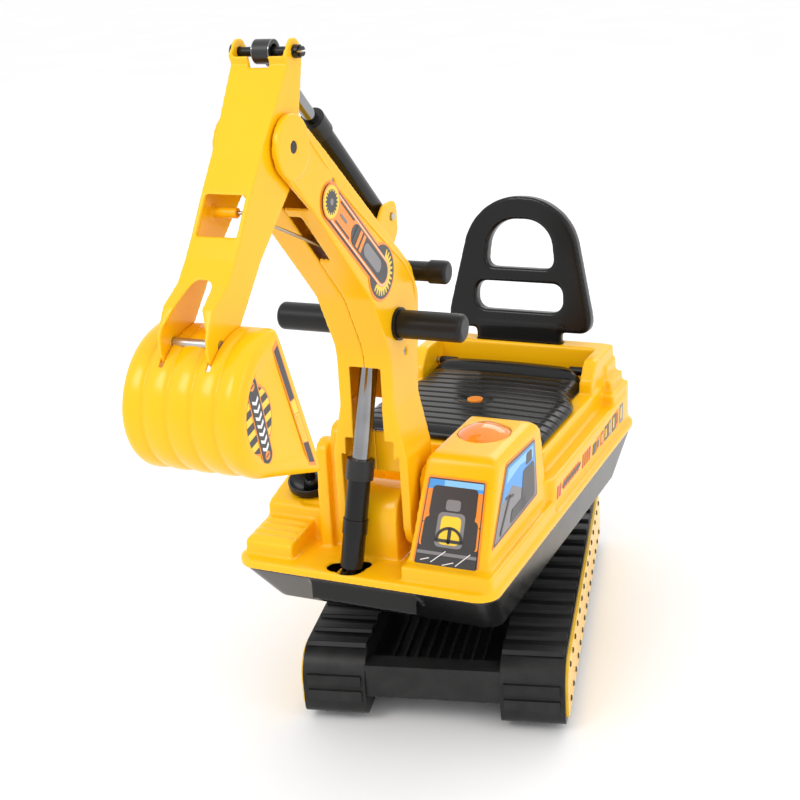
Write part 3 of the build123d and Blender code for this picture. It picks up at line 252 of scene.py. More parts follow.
for node_name, node_obj in frame["nodes"].items():
    node_obj.data.materials.clear()
    node_obj.data.materials.append(NODE_MATERIAL.get(node_name, SLOT_MATERIAL[SLOT_OF[node_name]]))
    if node_name in REMESH:
        melt(node_obj, *REMESH[node_name])
    else:
        soften(node_obj, BEVEL.get(node_name, SMALL_BEVEL))


# ---- added pieces ----
def hand_name(side):
    return "left" if side > 0 else "right"


def piece(name, verts, faces, material, body, smooth=False, subdivide=0):
    mesh = bpy.data.meshes.new(name)
    mesh.from_pydata([tuple(v) for v in verts], [], faces)
    mesh.update()
    work = bmesh.new()
    work.from_mesh(mesh)
    bmesh.ops.remove_doubles(work, verts=work.verts, dist=1e-6)
    bmesh.ops.recalc_face_normals(work, faces=work.faces)
    work.to_mesh(mesh)
    work.free()
    for polygon in mesh.polygons:
        polygon.use_smooth = smooth
    obj = bpy.data.objects.new(name, mesh)
    SCENE.collection.objects.link(obj)
    mesh.materials.append(material)
    if subdivide:
        modifier = obj.modifiers.new("rounding", "SUBSURF")
        modifier.levels = modifier.render_levels = subdivide
    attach(obj, body)
    return obj


# ---- bucket ----
def arc_through(a, b, c, count):
    """Points on the circle through three points, from a to c."""
    (ax, ay), (bx, by), (cx, cy) = a, b, c
    d = 2 * (ax * (by - cy) + bx * (cy - ay) + cx * (ay - by))
    ux = ((ax**2 + ay**2) * (by - cy) + (bx**2 + by**2) * (cy - ay) + (cx**2 + cy**2) * (ay - by)) / d
    uy = ((ax**2 + ay**2) * (cx - bx) + (bx**2 + by**2) * (ax - cx) + (cx**2 + cy**2) * (bx - ax)) / d
    radius = math.hypot(ax - ux, ay - uy)
    start = math.atan2(ay - uy, ax - ux)
    middle = (math.atan2(by - uy, bx - ux) - start) % (2 * math.pi)
    sweep = (math.atan2(cy - uy, cx - ux) - start) % (2 * math.pi)
    if middle > sweep:
        sweep -= 2 * math.pi
    angles = [start + sweep * i / count for i in range(count + 1)]
    return [(ux + radius * math.cos(angle), uy + radius * math.sin(angle)) for angle in angles]


BUCKET_HALF = 53.9
BUCKET_ROUND = 9.0
BAND_COUNT = 5
BAND_DEPTH = 2.6
SLOT_X = (19.0, 23.2)                      # the dipper's fork goes in through these slots
SLOT_Y = (-517.8, -440.0)
SLOT_LOW_Z = 490.0
BUCKET_WALL = 2.6
BUCKET_MIDDLE = (-478.0, 450.0)
SIDE_HUB = (-488.0, 442.0)
SIDE_PANEL_DEPTH = 1.6


def bucket_outline():
    """The bucket's side view from the top lip round the back to the cutting lip."""
    crown = arc_through((-464, 513.6), (-509.6, 501.6), (-536.6, 458), 22)
    belly = arc_through((-536.6, 458), (-526.6, 420.4), (-494, 398.4), 12)
    floor_line = [(-494 + 80 * i / 8, 398.4 - 28 * i / 8) for i in range(1, 9)]
    return crown + belly[1:] + floor_line


def bucket_shell():
    """The banded scoop: one bent sheet with round ends, closed by two recessed side panels."""
    line = bucket_outline()
    count = len(line)
    normals = []
    for i in range(count):
        a = line[max(i - 1, 0)]
        b = line[min(i + 1, count - 1)]
        length = math.dist(a, b)
        normals.append(((b[1] - a[1]) / length, -(b[0] - a[0]) / length))
    centre = Vector(BUCKET_MIDDLE)
    inward = [n if (centre.x - p[0]) * n[0] + (centre.y - p[1]) * n[1] > 0 else (-n[0], -n[1])
              for p, n in zip(line, normals)]
    columns = sorted({round(-BUCKET_HALF + 2 * BUCKET_HALF * i / 60, 3) for i in range(61)}
                     | {s * x for s in (-1, 1) for x in SLOT_X})
    flat = BUCKET_HALF - BUCKET_ROUND
    verts = []
    for x in columns:
        over = max(0.0, abs(x) - flat)
        inset_round = BUCKET_ROUND - math.sqrt(max(0.0, BUCKET_ROUND**2 - over**2))
        phase = (x / (2 * BUCKET_HALF) + 0.5) * BAND_COUNT
        valley = 1.0 - abs(math.sin(math.pi * phase)) ** 0.45
        for i, (p, n) in enumerate(zip(line, inward)):
            fade = min(1.0, i / 5.0) * min(1.0, (count - 1 - i) / 7.0)
            near_end = min(1.0, 0.35 + 0.65 * min(i / 4.0, (count - 1 - i) / 4.0))
            groove = valley * BAND_DEPTH * fade if over < BUCKET_ROUND * 0.5 else 0.0
            depth = inset_round * near_end + groove
            verts.append(at(x, p[0] + n[0] * depth, p[1] + n[1] * depth))
    faces = []
    for c in range(len(columns) - 1):
        middle = abs(columns[c] + columns[c + 1]) / 2
        for i in range(count - 1):
            y = (line[i][0] + line[i + 1][0]) / 2
            z = (line[i][1] + line[i + 1][1]) / 2
            if SLOT_X[0] < middle < SLOT_X[1] and SLOT_Y[0] < y < SLOT_Y[1] and z > SLOT_LOW_Z:
                continue
            faces.append((c * count + i, c * count + i + 1, (c + 1) * count + i + 1, (c + 1) * count + i))
    hub = Vector(SIDE_HUB)
    for sign, first in ((-1, 0), (1, (len(columns) - 1) * count)):
        rings = [list(range(first, first + count))]
        for pull_crown, pull_mouth, x in ((0.05, 0.10, BUCKET_HALF), (0.10, 0.30, BUCKET_HALF),
                                          (0.14, 0.36, BUCKET_HALF - SIDE_PANEL_DEPTH),
                                          (0.5, 0.6, BUCKET_HALF - SIDE_PANEL_DEPTH)):
            ring = []
            for i, (p, n) in enumerate(zip(line, inward)):
                edge = min(1.0, min(i, count - 1 - i) / 6.0)
                near_end = min(1.0, 0.35 + 0.65 * min(i / 4.0, (count - 1 - i) / 4.0))
                y = p[0] + n[0] * BUCKET_ROUND * near_end
                z = p[1] + n[1] * BUCKET_ROUND * near_end
                pull = pull_mouth + (pull_crown - pull_mouth) * edge
                ring.append(len(verts))
                verts.append(at(sign * x, y + (hub.x - y) * pull, z + (hub.y - z) * pull))
            rings.append(ring)
        for a, b in zip(rings, rings[1:]):
            for i in range(count - 1):
                faces.append((a[i], a[i + 1], b[i + 1], b[i]))
        steps = 8
        ends = [[ring[0] for ring in rings], [ring[-1] for ring in rings]]
        bridge = [ends[0]]
        for k in range(1, steps):
            row = []
            for a, b in zip(*ends):
                row.append(len(verts))
                verts.append(verts[a].lerp(verts[b], k / steps))
            bridge.append(row)
        bridge.append(ends[1])
        for a, b in zip(bridge, bridge[1:]):
            for k in range(len(rings) - 1):
                faces.append((a[k], a[k + 1], b[k + 1], b[k]))
        inner = [rings[-1][i] for i in range(count)] + [bridge[k][-1] for k in range(steps - 1, 0, -1)]
        core = len(verts)
        verts.append(at(sign * (BUCKET_HALF - SIDE_PANEL_DEPTH), hub.x, hub.y))
        for a, b in zip(inner, inner[1:] + inner[:1]):
            faces.append((a, b, core))
    obj = piece("bucket_moulded", verts, faces, YELLOW, "bucket", smooth=True)
    shell = obj.modifiers.new("wall", "SOLIDIFY")
    shell.thickness = BUCKET_WALL * MM
    shell.offset = -1.0
    subdivision = obj.modifiers.new("rounding", "SUBSURF")
    subdivision.levels = subdivision.render_levels = 1
    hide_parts("bucket_shell")
    return obj


bucket_shell()


# ---- raised rims of the boom ----
BOOM_FACE_X = 28.7
BOOM_TIP = (-370.0, 635.0)
RIM_RING_R = 21.5
RIM_R = 1.8
BEAD_SIDES = 10
BEAD_STEP = 5.0


def bead(name, line, body):
    """A half round moulded rim along a line on the boom's side, thinner towards its ends."""
    count = len(line)
    for side in (1, -1):
        verts, faces = [], []
        for i, (y, z) in enumerate(line):
            a, b = line[max(i - 1, 0)], line[min(i + 1, count - 1)]
            length = math.dist(a, b)
            across = (-(b[1] - a[1]) / length, (b[0] - a[0]) / length)
            radius = RIM_R * min(1.0, 0.15 + min(i, count - 1 - i) * 0.25)
            for k in range(BEAD_SIDES):
                turn = 2 * math.pi * k / BEAD_SIDES
                out, over = radius * math.cos(turn), radius * math.sin(turn)
                verts.append(at(side * (BOOM_FACE_X + out), y + across[0] * over, z + across[1] * over))
        for i in range(count - 1):
            first = i * BEAD_SIDES
            for k in range(BEAD_SIDES):
                n = (k + 1) % BEAD_SIDES
                faces.append((first + k, first + n, first + BEAD_SIDES + n, first + BEAD_SIDES + k))
        faces.append(tuple(range(BEAD_SIDES - 1, -1, -1)))
        faces.append(tuple(range((count - 1) * BEAD_SIDES, count * BEAD_SIDES)))
        piece(f"{name}_{hand_name(side)}", verts, faces, YELLOW, body, smooth=True)


def spread(points, step):
    """The same broken line with a point about every step."""
    out = [points[0]]
    for a, b in zip(points, points[1:]):
        pieces = max(1, round(math.dist(a, b) / step))
        shares = [k / pieces for k in range(1, pieces + 1)]
        out += [(a[0] + (b[0] - a[0]) * share, a[1] + (b[1] - a[1]) * share) for share in shares]
    return out


tip_angles = [math.radians(degrees) for degrees in range(232, 40, -8)]
tip_arc = [(BOOM_TIP[0] + RIM_RING_R * math.cos(angle), BOOM_TIP[1] + RIM_RING_R * math.sin(angle))
           for angle in tip_angles]
tip_rim = [(-355.0, 589.0), *tip_arc, (-318.0, 612.0), (-306.0, 600.0)]
rear_rim = [(-304.0, 592.0), (-261.0, 556.0), (-200.0, 506.5), (-173.0, 485.0),
            (-157.0, 464.0), (-152.0, 440.0)]
bead("boom_rim", spread(tip_rim, BEAD_STEP), "boom")
bead("boom_rear_rim", spread(rear_rim, BEAD_STEP), "boom")


# ---- rivets of the track side plates ----
RIVET_PITCH = 28.0
RIVET_ROWS_Z = (26.0, 66.0)
RIVET_RINGS = ((3.4, -0.2), (3.1, 0.7), (2.0, 1.2), (0.8, 1.4))   # radius, height over the plate
RIVET_SIDES = 16


def rivets(side):
    """Two rows of small domed rivets pressed into a yellow side plate."""
    low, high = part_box(f"side_plate_{hand_name(side)}")
    face = high[0] if side > 0 else low[0]
    verts, faces = [], []
    for k in range(-7, 8):
        for z in RIVET_ROWS_Z:
            first = len(verts)
            for radius, proud in RIVET_RINGS:
                for a in range(RIVET_SIDES):
                    turn = 2 * math.pi * a / RIVET_SIDES
                    y = k * RIVET_PITCH + radius * math.cos(turn)
                    height = z + radius * math.sin(turn)
                    verts.append(Vector((face + side * proud * MM, y * MM, height * MM)))
            for ring in range(len(RIVET_RINGS) - 1):
                low_ring = first + ring * RIVET_SIDES
                for a in range(RIVET_SIDES):
                    b = (a + 1) % RIVET_SIDES
                    faces.append((low_ring + a, low_ring + b, low_ring + RIVET_SIDES + b,
                                  low_ring + RIVET_SIDES + a))
            faces.append(tuple(range(len(verts) - RIVET_SIDES, len(verts))))
            faces.append(tuple(range(first + RIVET_SIDES - 1, first - 1, -1)))
    piece(f"plate_rivets_{hand_name(side)}", verts, faces, BLACK, "chassis", smooth=True)


for hand in (1, -1):
    rivets(hand)


# ---- seat ----
SEAT_Y = (-44.0, 186.0)
SEAT_TOP_Z = 259.0
SEAT_FOOT_Z = 249.8
SEAT_EDGE_R = 19.0
BADGE_Y = 55.0
BADGE_DISH_R = 10.0
BADGE_DISH_SLOPE = 4.0
BADGE_DISH_DEPTH = 0.4
KNUCKLE_SIDES = 24
SEAT_GROOVES = 11
SEAT_FRONT_HALF = 112.0
SEAT_REAR_NARROWER = 16.0
SEAT_NARROWS_Y = (66.0, 124.0)
SEAT_CORNER_R = (16.0, 40.0)               # front, rear
SEAT_CROWN = 2.2
SEAT_LIP = 6.5
SEAT_LIP_Y = (146.0, 162.0)
GROOVE_END_Y = 144.0
GROOVE_HALF = 1.3
GROOVE_DEPTH = 1.8
LIP_GROOVE_Y = 150.0
HEEL_Y = 172.0                             # behind this the rear edge is cut higher, clear of the deck
HEEL_SKIRT_Z = 252.4
HEEL_SKIN_Z = 253.0
SEAT_HINGE = (181.0, 258.0)


def ease(share):
    """0 to 1 with soft ends."""
    share = min(1.0, max(0.0, share))
    return share * share * (3 - 2 * share)


def corner_cut(distance, radius):
    """How far a round corner of this radius pulls in, a distance from the end."""
    miss = max(0.0, radius - distance)
    return radius - math.sqrt(max(0.0, radius**2 - miss**2))


def seat_half_width(y):
    low, high = SEAT_NARROWS_Y
    width = SEAT_FRONT_HALF - SEAT_REAR_NARROWER * ease((y - low) / (high - low))
    return width - corner_cut(y - SEAT_Y[0], SEAT_CORNER_R[0]) - corner_cut(SEAT_Y[1] - y, SEAT_CORNER_R[1])


def seat_height(x, y, half):
    beyond_x = max(0.0, 1 - (half - abs(x)) / SEAT_EDGE_R)
    beyond_y = max(0.0, 1 - min(y - SEAT_Y[0], SEAT_Y[1] - y) / SEAT_EDGE_R)
    rise = math.sqrt(max(0.0, 1 - min(1.0, beyond_x**2 + beyond_y**2)))
    lip = ease((y - SEAT_LIP_Y[0]) / (SEAT_LIP_Y[1] - SEAT_LIP_Y[0]))
    crown = SEAT_CROWN * (1 - (x / half) ** 2) + SEAT_LIP * lip
    dish = min(1.0, max(0.0, (math.hypot(x, y - BADGE_Y) - BADGE_DISH_R) / BADGE_DISH_SLOPE))
    top = SEAT_TOP_Z - BADGE_DISH_DEPTH + (crown + BADGE_DISH_DEPTH) * dish
    pitch = (GROOVE_END_Y - SEAT_Y[0]) / (SEAT_GROOVES + 1)
    lines = [SEAT_Y[0] + pitch * (k + 1) for k in range(SEAT_GROOVES)]
    groove = dish * sum(math.exp(-((y - line) / GROOVE_HALF) ** 2) for line in lines)
    groove += 0.6 * math.exp(-((y - LIP_GROOVE_Y) / 1.8) ** 2)
    foot = HEEL_SKIN_Z if y > HEEL_Y else SEAT_FOOT_Z + 1.0
    return max(foot, SEAT_FOOT_Z + (top - SEAT_FOOT_Z) * rise - GROOVE_DEPTH * groove * rise)


def seat_knuckle(side):
    """A round ended hinge barrel at one rear corner of the seat."""
    profile = ((72.0, 3.4), (73.0, 4.9), (75.0, 5.4), (94.0, 5.4), (95.6, 5.0), (96.2, 4.0))
    angles = [2 * math.pi * k / KNUCKLE_SIDES for k in range(KNUCKLE_SIDES)]
    points = [at(side * x, SEAT_HINGE[0] + radius * math.cos(a), SEAT_HINGE[1] + radius * math.sin(a))
              for x, radius in profile for a in angles]
    quads = []
    for ring in range(len(profile) - 1):
        first = ring * KNUCKLE_SIDES
        for k in range(KNUCKLE_SIDES):
            n = (k + 1) % KNUCKLE_SIDES
            quads.append((first + k, first + n, first + KNUCKLE_SIDES + n, first + KNUCKLE_SIDES + k))
    quads += [tuple(range(KNUCKLE_SIDES)), tuple(range(len(points) - KNUCKLE_SIDES, len(points)))]
    piece(f"seat_knuckle_{hand_name(side)}", points, quads, BLACK, "seat", smooth=True)


def seat_cushion():
    """A crowned black seat skin with pressed grooves across it and a raised rear lip."""
    rows, columns = 216, 44
    verts = []
    for r in range(rows + 1):
        y = SEAT_Y[0] + (SEAT_Y[1] - SEAT_Y[0]) * r / rows
        half = seat_half_width(y)
        line = [math.sin(math.pi / 2 * (2 * c / columns - 1)) * half for c in range(columns + 1)]
        verts += [at(x, y, seat_height(x, y, half)) for x in line]
    wide = columns + 1
    faces = [(r * wide + c, r * wide + c + 1, (r + 1) * wide + c + 1, (r + 1) * wide + c)
             for r in range(rows) for c in range(columns)]
    rim = [c for c in range(wide)] + [r * wide + columns for r in range(1, rows + 1)]
    rim += [rows * wide + c for c in range(columns - 1, -1, -1)] + [r * wide for r in range(rows - 1, 0, -1)]
    skirt = []
    for i in rim:
        y = SEAT_Y[0] + (SEAT_Y[1] - SEAT_Y[0]) * (i // wide) / rows
        low = verts[i].copy()
        low.z = (HEEL_SKIRT_Z if y > HEEL_Y else SEAT_FOOT_Z) * MM
        skirt.append(len(verts))
        verts.append(low)
    faces += [(rim[i], rim[i - 1], skirt[i - 1], skirt[i]) for i in range(len(rim))]
    seat = piece("seat_skin", verts, faces, BLACK_GLOSS, "seat", smooth=True)
    wall = seat.modifiers.new("wall", "SOLIDIFY")
    wall.thickness = 2.4 * MM
    wall.offset = -1.0
    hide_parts("seat_lid")
    for side in (1, -1):
        seat_knuckle(side)


seat_cushion()


# ---- stickers: thin printed plates, one colour each ----
def ink(name, colour):
    return moulded(name, colour, (0.25, 0.38), 0.03, 500.0, 0.05, 0.15)


INK = {
    "orange": ink("ink_orange", (0.93, 0.27, 0.02)), "dark": ink("ink_dark", (0.035, 0.033, 0.035)),
    "grey": ink("ink_grey", (0.22, 0.21, 0.22)), "yellow": ink("ink_yellow", (0.95, 0.63, 0.03)),
    "white": ink("ink_white", (0.86, 0.86, 0.86)), "red": ink("ink_red", (0.75, 0.045, 0.02)),
    "blue": ink("ink_blue", (0.06, 0.33, 0.80)), "pale_blue": ink("ink_pale_blue", (0.25, 0.58, 0.90)),
}
LAYER = 0.14
BOOM_STICKER_X = 29.25
PANEL_STICKER_X = 52.55
STRIP_STICKER_X = 53.95
SIDE_STRIPES_X = 136.3


class Sticker:
    """A stack of flat printed shapes on one face of a body."""

    def __init__(self, name, body, place):
        self.name = name
        self.body = body
        self.place = place
        self.count = 0

    def add(self, outline, colour, level):
        """One printed shape: an outline in the sticker's own two millimetre axes."""
        n = len(outline)
        low = [self.place(a, b, level * LAYER) for a, b in outline]
        high = [self.place(a, b, (level + 1) * LAYER) for a, b in outline]
        faces = [tuple(range(n, 2 * n)), tuple(reversed(range(n)))]
        faces += [(i, (i + 1) % n, n + (i + 1) % n, n + i) for i in range(n)]
        self.count += 1
        piece(f"{self.name}_{self.count:02d}", low + high, faces, INK[colour], self.body)


def disc(centre, radius, count=40, squash=1.0, start=0.0, sweep=360.0):
    steps = count if sweep >= 360 else count + 1
    angles = [math.radians(start + sweep * i / count) for i in range(steps)]
    return [(centre[0] + radius * math.cos(a), centre[1] + radius * squash * math.sin(a)) for a in angles]


def capsule(a, b, half, count=14):
    """A round ended bar from a to b."""
    turn = math.degrees(math.atan2(b[1] - a[1], b[0] - a[0]))
    return disc(b, half, count, 1.0, turn - 90, 180) + disc(a, half, count, 1.0, turn + 90, 180)


def gear(centre, inner, outer, teeth, start=0.0, sweep=360.0):
    points = []
    for k in range(teeth):
        for share, radius in ((0.0, inner), (0.18, outer), (0.5, outer), (0.68, inner)):
            angle = math.radians(start + sweep * (k + share) / teeth)
            points.append((centre[0] + radius * math.cos(angle), centre[1] + radius * math.sin(angle)))
    return points


def cut(outline, normal, limit):
    """The part of a convex outline on the low side of a line."""
    kept = []
    for i, p in enumerate(outline):
        q = outline[(i + 1) % len(outline)]
        dp = p[0] * normal[0] + p[1] * normal[1] - limit
        dq = q[0] * normal[0] + q[1] * normal[1] - limit
        if dp <= 0:
            kept.append(p)
        if dp * dq < 0:
            t = dp / (dp - dq)
            kept.append((p[0] + (q[0] - p[0]) * t, p[1] + (q[1] - p[1]) * t))
    return kept


def band(outline, normal, low, high):
    return cut(cut(outline, normal, high), (-normal[0], -normal[1]), -low)


def between(corners, s, t):
    """A point of a quad: s across its first edge, t from the first edge to the third."""
    a, b, c, d = (Vector(p) for p in corners)
    return tuple(a.lerp(b, s).lerp(d.lerp(c, s), t))


def quad_part(corners, s0, s1, t0, t1, lean=0.0):
    return [between(corners, s0, t0), between(corners, s1, t0), between(corners, s1 + lean, t1),
            between(corners, s0 + lean, t1)]


def rounded(points, radius, count=5):
    """An outline with its corners rounded."""
    out = []
    for i, p in enumerate(points):
        p = Vector(p)
        before = (Vector(points[i - 1]) - p).normalized()
        after = (Vector(points[(i + 1) % len(points)]) - p).normalized()
        for k in range(count + 1):
            t = k / count
            out.append(tuple(p + before * radius * (1 - t) ** 2 + after * radius * t**2))
    return out


def boom_sticker(side):
    art = Sticker(f"boom_sticker_{hand_name(side)}", "boom",
                  lambda a, b, h: at(side * (BOOM_STICKER_X + h), a, b))
    top, low = (-314.5, 577.6), (-225.1, 491.2)
    along = Vector((low[0] - top[0], low[1] - top[1])).normalized()
    turn = math.degrees(math.atan2(along.y, along.x))

    def on(t, half=0.0):
        return (top[0] + along.x * t - along.y * half, top[1] + along.y * t + along.x * half)

    art.add(capsule(top, low, 18.0), "orange", 0)
    art.add(disc(low, 27.5), "orange", 1)
    art.add(capsule(top, low, 15.8), "dark", 2)
    art.add(disc(low, 25.2), "dark", 3)
    half_gear = gear(low, 17.5, 22.5, 15, turn - 105, 210)
    art.add(half_gear + disc(low, 13.0, 20, 1.0, turn + 100, -200), "yellow", 4)
    art.add(capsule(top, low, 14.0), "orange", 5)
    art.add(capsule(top, low, 12.9), "white", 6)
    art.add(capsule(top, low, 12.1), "orange", 7)
    art.add(capsule(on(58), low, 10.6), "dark", 8)
    art.add(capsule(on(84), on(112), 6.5), "grey", 9)
    for t in (52, 60, 68):
        art.add([on(t, -9), on(t + 5, -9), on(t + 8, 9), on(t + 3, 9)], "dark" if t == 52 else "orange", 10)
    for half in (-9.5, 9.5):
        art.add(capsule(on(16, half), on(46, half), 0.9), "dark", 10)
    art.add(capsule(on(22), on(34), 1.4), "grey", 10)
    art.add(disc(top, 15.8), "orange", 9)
    art.add(disc(top, 14.2), "yellow", 10)
    art.add(gear(top, 9.0, 11.2, 18), "dark", 11)
    art.add(disc(top, 3.0), "grey", 12)


def bucket_sticker(side):
    panel = Sticker(f"bucket_sticker_{hand_name(side)}", "bucket",
                    lambda a, b, h: at(side * (PANEL_STICKER_X + h), a, b))
    centre = (-505.0, 452.0)
    top, low = (-509.0, 481.0), (-496.5, 420.0)
    panel.add(disc(centre, 22.0, 40, 1.3), "orange", 0)
    field = disc(centre, 20.4, 40, 1.3)
    panel.add(field, "yellow", 1)
    normal = (-0.22, 0.975)
    base = centre[0] * normal[0] + centre[1] * normal[1]
    for k in range(-2, 3):
        shape = band(field, normal, base + k * 11.5 - 2.9, base + k * 11.5 + 2.9)
        if len(shape) > 2:
            panel.add(shape, "dark", 2)
    panel.add(capsule(top, low, 8.2), "orange", 3)
    panel.add(capsule(top, low, 7.0), "dark", 4)
    axis = Vector((low[0] - top[0], low[1] - top[1])).normalized()
    cross = Vector((-axis.y, axis.x))
    for k in range(7):
        c = Vector(top) + axis * (12.0 + k * 7.0)
        points = [c - cross * 4.6 - axis * 1.6, c + axis * 1.6, c + cross * 4.6 - axis * 1.6,
                  c + cross * 4.6 + axis * 1.4, c + axis * 4.6, c - cross * 4.6 + axis * 1.4]
        panel.add([tuple(q) for q in points], "white", 5)
    for end in (top, low):
        panel.add(disc(end, 3.6, 24), "orange", 5)
        panel.add(capsule((end[0] - 2.2, end[1] - 0.8), (end[0] + 2.2, end[1] + 0.8), 0.5, 6), "dark", 6)
    strip = Sticker(f"bucket_strip_{hand_name(side)}", "bucket",
                    lambda a, b, h: at(side * (STRIP_STICKER_X + h), a, b))
    corners = [(-475.5, 500.0), (-467.5, 505.0), (-423.0, 381.5), (-434.5, 386.0)]
    strip.add(quad_part(corners, 0, 1, 0, 1), "orange", 0)
    strip.add(quad_part(corners, 0.14, 0.86, 0.03, 0.44), "dark", 1)
    strip.add(quad_part(corners, 0.14, 0.86, 0.45, 0.55), "yellow", 1)
    strip.add(quad_part(corners, 0.14, 0.86, 0.56, 0.79), "yellow", 1)
    for s0 in (0.3, 0.5, 0.7):
        strip.add(quad_part(corners, s0 - 0.02, s0 + 0.02, 0.57, 0.78), "orange", 2)
    strip.add(quad_part(corners, 0.14, 0.86, 0.8, 0.97), "dark", 1)


def windscreen_sticker():
    foot = Vector((-253.0, 190.0))
    rise = Vector((59.0, 110.0)).normalized()
    out = Vector((-rise.y, rise.x))

    def place(a, b, h):
        spot = foot + rise * b + out * (0.5 + h)
        return at(a, spot.x, spot.y)

    art = Sticker("windscreen_art", "upper_body", place)
    corners = [(50.5, 13.0), (119.5, 13.0), (116.5, 103.0), (55.0, 103.0)]
    art.add(rounded(corners, 3.0), "orange", 0)
    art.add(rounded(quad_part(corners, 0.025, 0.975, 0.02, 0.98), 2.0), "dark", 1)
    art.add(quad_part(corners, 0.04, 0.96, 0.86, 0.965), "blue", 2)
    art.add(quad_part(corners, 0.30, 0.96, 0.90, 0.965), "pale_blue", 3)
    art.add(quad_part(corners, 0.04, 0.13, 0.50, 0.86), "orange", 2)
    art.add(quad_part(corners, 0.87, 0.96, 0.50, 0.86), "orange", 2)
    art.add(rounded(quad_part(corners, 0.04, 0.96, 0.24, 0.50), 3.0), "orange", 3)
    art.add(rounded(quad_part(corners, 0.12, 0.88, 0.56, 0.90), 5.0), "dark", 4)
    art.add(rounded(quad_part(corners, 0.07, 0.93, 0.22, 0.56), 6.0), "dark", 4)
    art.add(rounded(quad_part(corners, 0.28, 0.72, 0.24, 0.62), 6.0), "grey", 5)
    art.add(rounded(quad_part(corners, 0.38, 0.62, 0.64, 0.76), 3.5), "grey", 5)
    art.add(rounded(quad_part(corners, 0.34, 0.66, 0.27, 0.58), 5.0), "yellow", 6)
    art.add(quad_part(corners, 0.04, 0.96, 0.02, 0.235), "dark", 7)
    art.add(quad_part(corners, 0.04, 0.96, 0.15, 0.185), "grey", 8)
    hub = between(corners, 0.5, 0.30)
    ring = disc(hub, 15.0, 24, 1.0, 0, 180) + disc(hub, 12.2, 24, 1.0, 180, -180)
    art.add(ring, "dark", 9)
    art.add(capsule(hub, (hub[0], hub[1] + 13.0), 1.8), "dark", 9)
    art.add(capsule((hub[0] - 13.0, hub[1] + 1.0), (hub[0] + 13.0, hub[1] + 1.0), 1.6), "dark", 9)
    for s0, t0, s1, t1 in ((0.12, 0.08, 0.24, 0.11), (0.28, 0.07, 0.48, 0.20), (0.46, 0.05, 0.62, 0.09),
                           (0.66, 0.06, 0.86, 0.20)):
        art.add(capsule(between(corners, s0, t0), between(corners, s1, t1), 0.45, 4), "white", 10)


def side_window_sticker():
    def place(a, b, h):
        return at(131.35 - 6.0 * (b - 181.0) / 119.0 + h, a, b)

    art = Sticker("side_window_art", "upper_body", place)
    corners = [(-233.0, 221.0), (-100.0, 224.0), (-94.0, 285.0), (-176.0, 289.0)]
    art.add(rounded(corners, 4.0), "orange", 0)
    art.add(rounded(quad_part(corners, 0.015, 0.985, 0.02, 0.975), 3.5), "dark", 1)
    art.add(rounded(quad_part(corners, 0.03, 0.97, 0.05, 0.95), 3.0), "grey", 2)
    sky = ((0.06, 0.5), (0.3, 0.62), (0.62, 0.40), (0.95, 0.55), (0.95, 0.93), (0.06, 0.93))
    cloud = ((0.10, 0.72), (0.5, 0.8), (0.9, 0.72), (0.9, 0.9), (0.1, 0.9))
    art.add([between(corners, s, t) for s, t in sky], "blue", 3)
    art.add([between(corners, s, t) for s, t in cloud], "pale_blue", 4)
    art.add(rounded(quad_part(corners, 0.60, 0.92, 0.08, 0.66), 5.0), "dark", 5)
    art.add(rounded(quad_part(corners, 0.68, 0.86, 0.70, 0.88), 3.0), "dark", 5)
    art.add(rounded(quad_part(corners, 0.36, 0.70, 0.08, 0.26), 4.0), "dark", 5)
    art.add(capsule(between(corners, 0.14, 0.10), between(corners, 0.26, 0.5), 1.6), "dark", 6)
    art.add(capsule(between(corners, 0.16, 0.52), between(corners, 0.36, 0.46), 1.3), "dark", 6)


def side_stripes(side):
    art = Sticker(f"side_stripes_{hand_name(side)}", "upper_body",
                  lambda a, b, h: at(side * (SIDE_STRIPES_X + h), a, b))

    def bar(y, width, low, high, colour, lean=4.0, level=0):
        art.add([(y, low), (y + width, low), (y + width + lean, high), (y + lean, high)], colour, level)

    for k in range(2):
        bar(-60 + 8 * k, 4.0, 201, 214, "red")
    bar(-42, 62, 206.5, 210.5, "dark")
    for k in range(7):
        bar(-38 + 8 * k, 4.6, 203.5, 206.0, "red", 1.0)
        bar(-36 + 8 * k, 4.6, 211.0, 213.5, "red", 1.0)
    for k in range(4):
        bar(28 + 8 * k, 4.4, 200, 215, "red")
    bar(66, 12, 200, 212, "dark")
    blocks = ((12, "orange"), (10, "red"), (13, "dark"), (10, "grey"),
              (13, "dark"), (10, "orange"), (13, "grey"))
    for k, (width, colour) in enumerate(blocks):
        start = 82 + 15.5 * k
        inner = "yellow" if colour != "orange" else "dark"
        bar(start, width, 200 - 0.3 * k, 214 + 0.9 * k, colour, 3.0)
        bar(start + 2, width * 0.4, 203, 211 + 0.9 * k, inner, 2.0, 1)


for hand in (1, -1):
    boom_sticker(hand)
    bucket_sticker(hand)
    side_stripes(hand)
windscreen_sticker()
side_window_sticker()


# ---- floor, light, camera ----
FLOOR_HALF = 40.0
SENSOR_MM = 36.0
FOCAL_PER_WIDTH = 1434.8 / 800.0
CAMERA_PLACE = (0.2728, -1.4786, 0.8405)
CAMERA_TARGET = (-0.1113, 0.2068, 0.2)
CAMERA_ROLL = -3.94
LIGHT_TARGET = (0, 0, 0.3)


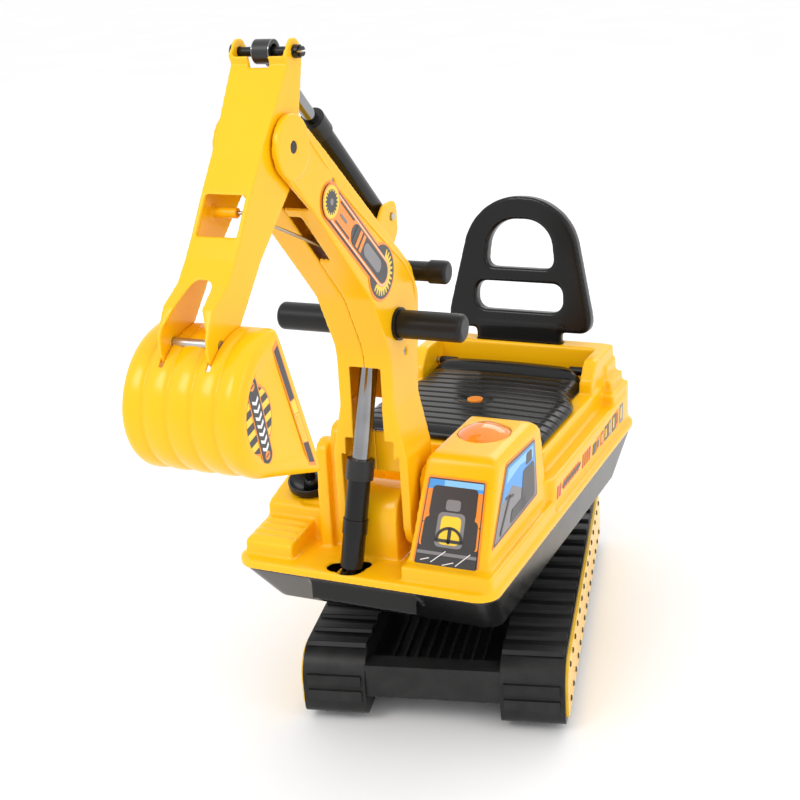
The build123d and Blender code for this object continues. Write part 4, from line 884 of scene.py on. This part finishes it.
def floor():
    mesh = bpy.data.meshes.new("floor")
    corners = [(a * FLOOR_HALF, b * FLOOR_HALF, 0) for a, b in ((-1, -1), (1, -1), (1, 1), (-1, 1))]
    mesh.from_pydata(corners, [], [(0, 1, 2, 3)])
    obj = bpy.data.objects.new("floor", mesh)
    SCENE.collection.objects.link(obj)
    n = Nodes("floor_pale")
    tone = n.ramp(n.noise(3.0, 5.0), [(0.3, (0.90, 0.90, 0.90)), (0.7, (0.92, 0.92, 0.92))])
    n.link(tone, n.bsdf.inputs["Base Color"])
    n.link(n.span(n.noise(20.0), 0.5, 0.65), n.bsdf.inputs["Roughness"])
    mesh.materials.append(n.mat)


def area_light(name, place, target, size, power, colour=(1, 1, 1)):
    data = bpy.data.lights.new(name, "AREA")
    data.shape = "RECTANGLE"
    data.size, data.size_y = size
    data.energy = power
    data.color = colour
    obj = bpy.data.objects.new(name, data)
    SCENE.collection.objects.link(obj)
    obj.location = place
    aim = Vector(target) - Vector(place)
    obj.rotation_euler = aim.to_track_quat("-Z", "Y").to_euler()


def camera():
    data = bpy.data.cameras.new("camera")
    data.sensor_width = SENSOR_MM
    data.lens = SENSOR_MM * FOCAL_PER_WIDTH
    data.clip_start = 0.05
    obj = bpy.data.objects.new("camera", data)
    SCENE.collection.objects.link(obj)
    place = Vector(CAMERA_PLACE)
    target = Vector(CAMERA_TARGET)
    aim = (target - place).to_track_quat("-Z", "Y").to_matrix().to_4x4()
    roll = Matrix.Rotation(math.radians(CAMERA_ROLL), 4, "Z")
    obj.matrix_world = Matrix.Translation(place) @ aim @ roll
    SCENE.camera = obj


floor()
camera()
area_light("key", (-1.6, -2.2, 2.6), LIGHT_TARGET, (1.2, 1.2), 26)
area_light("fill", (2.4, -1.2, 1.6), LIGHT_TARGET, (1.6, 1.6), 12)
area_light("rim", (0.5, 2.4, 2.2), LIGHT_TARGET, (2.0, 1.2), 18)
SCENE.view_settings.view_transform = "Standard"
world = bpy.data.worlds.new("studio")
SCENE.world = world
world.use_nodes = True
world.node_tree.nodes["Background"].inputs["Color"].default_value = (1.0, 1.0, 1.0, 1.0)
world.node_tree.nodes["Background"].inputs["Strength"].default_value = 1.08
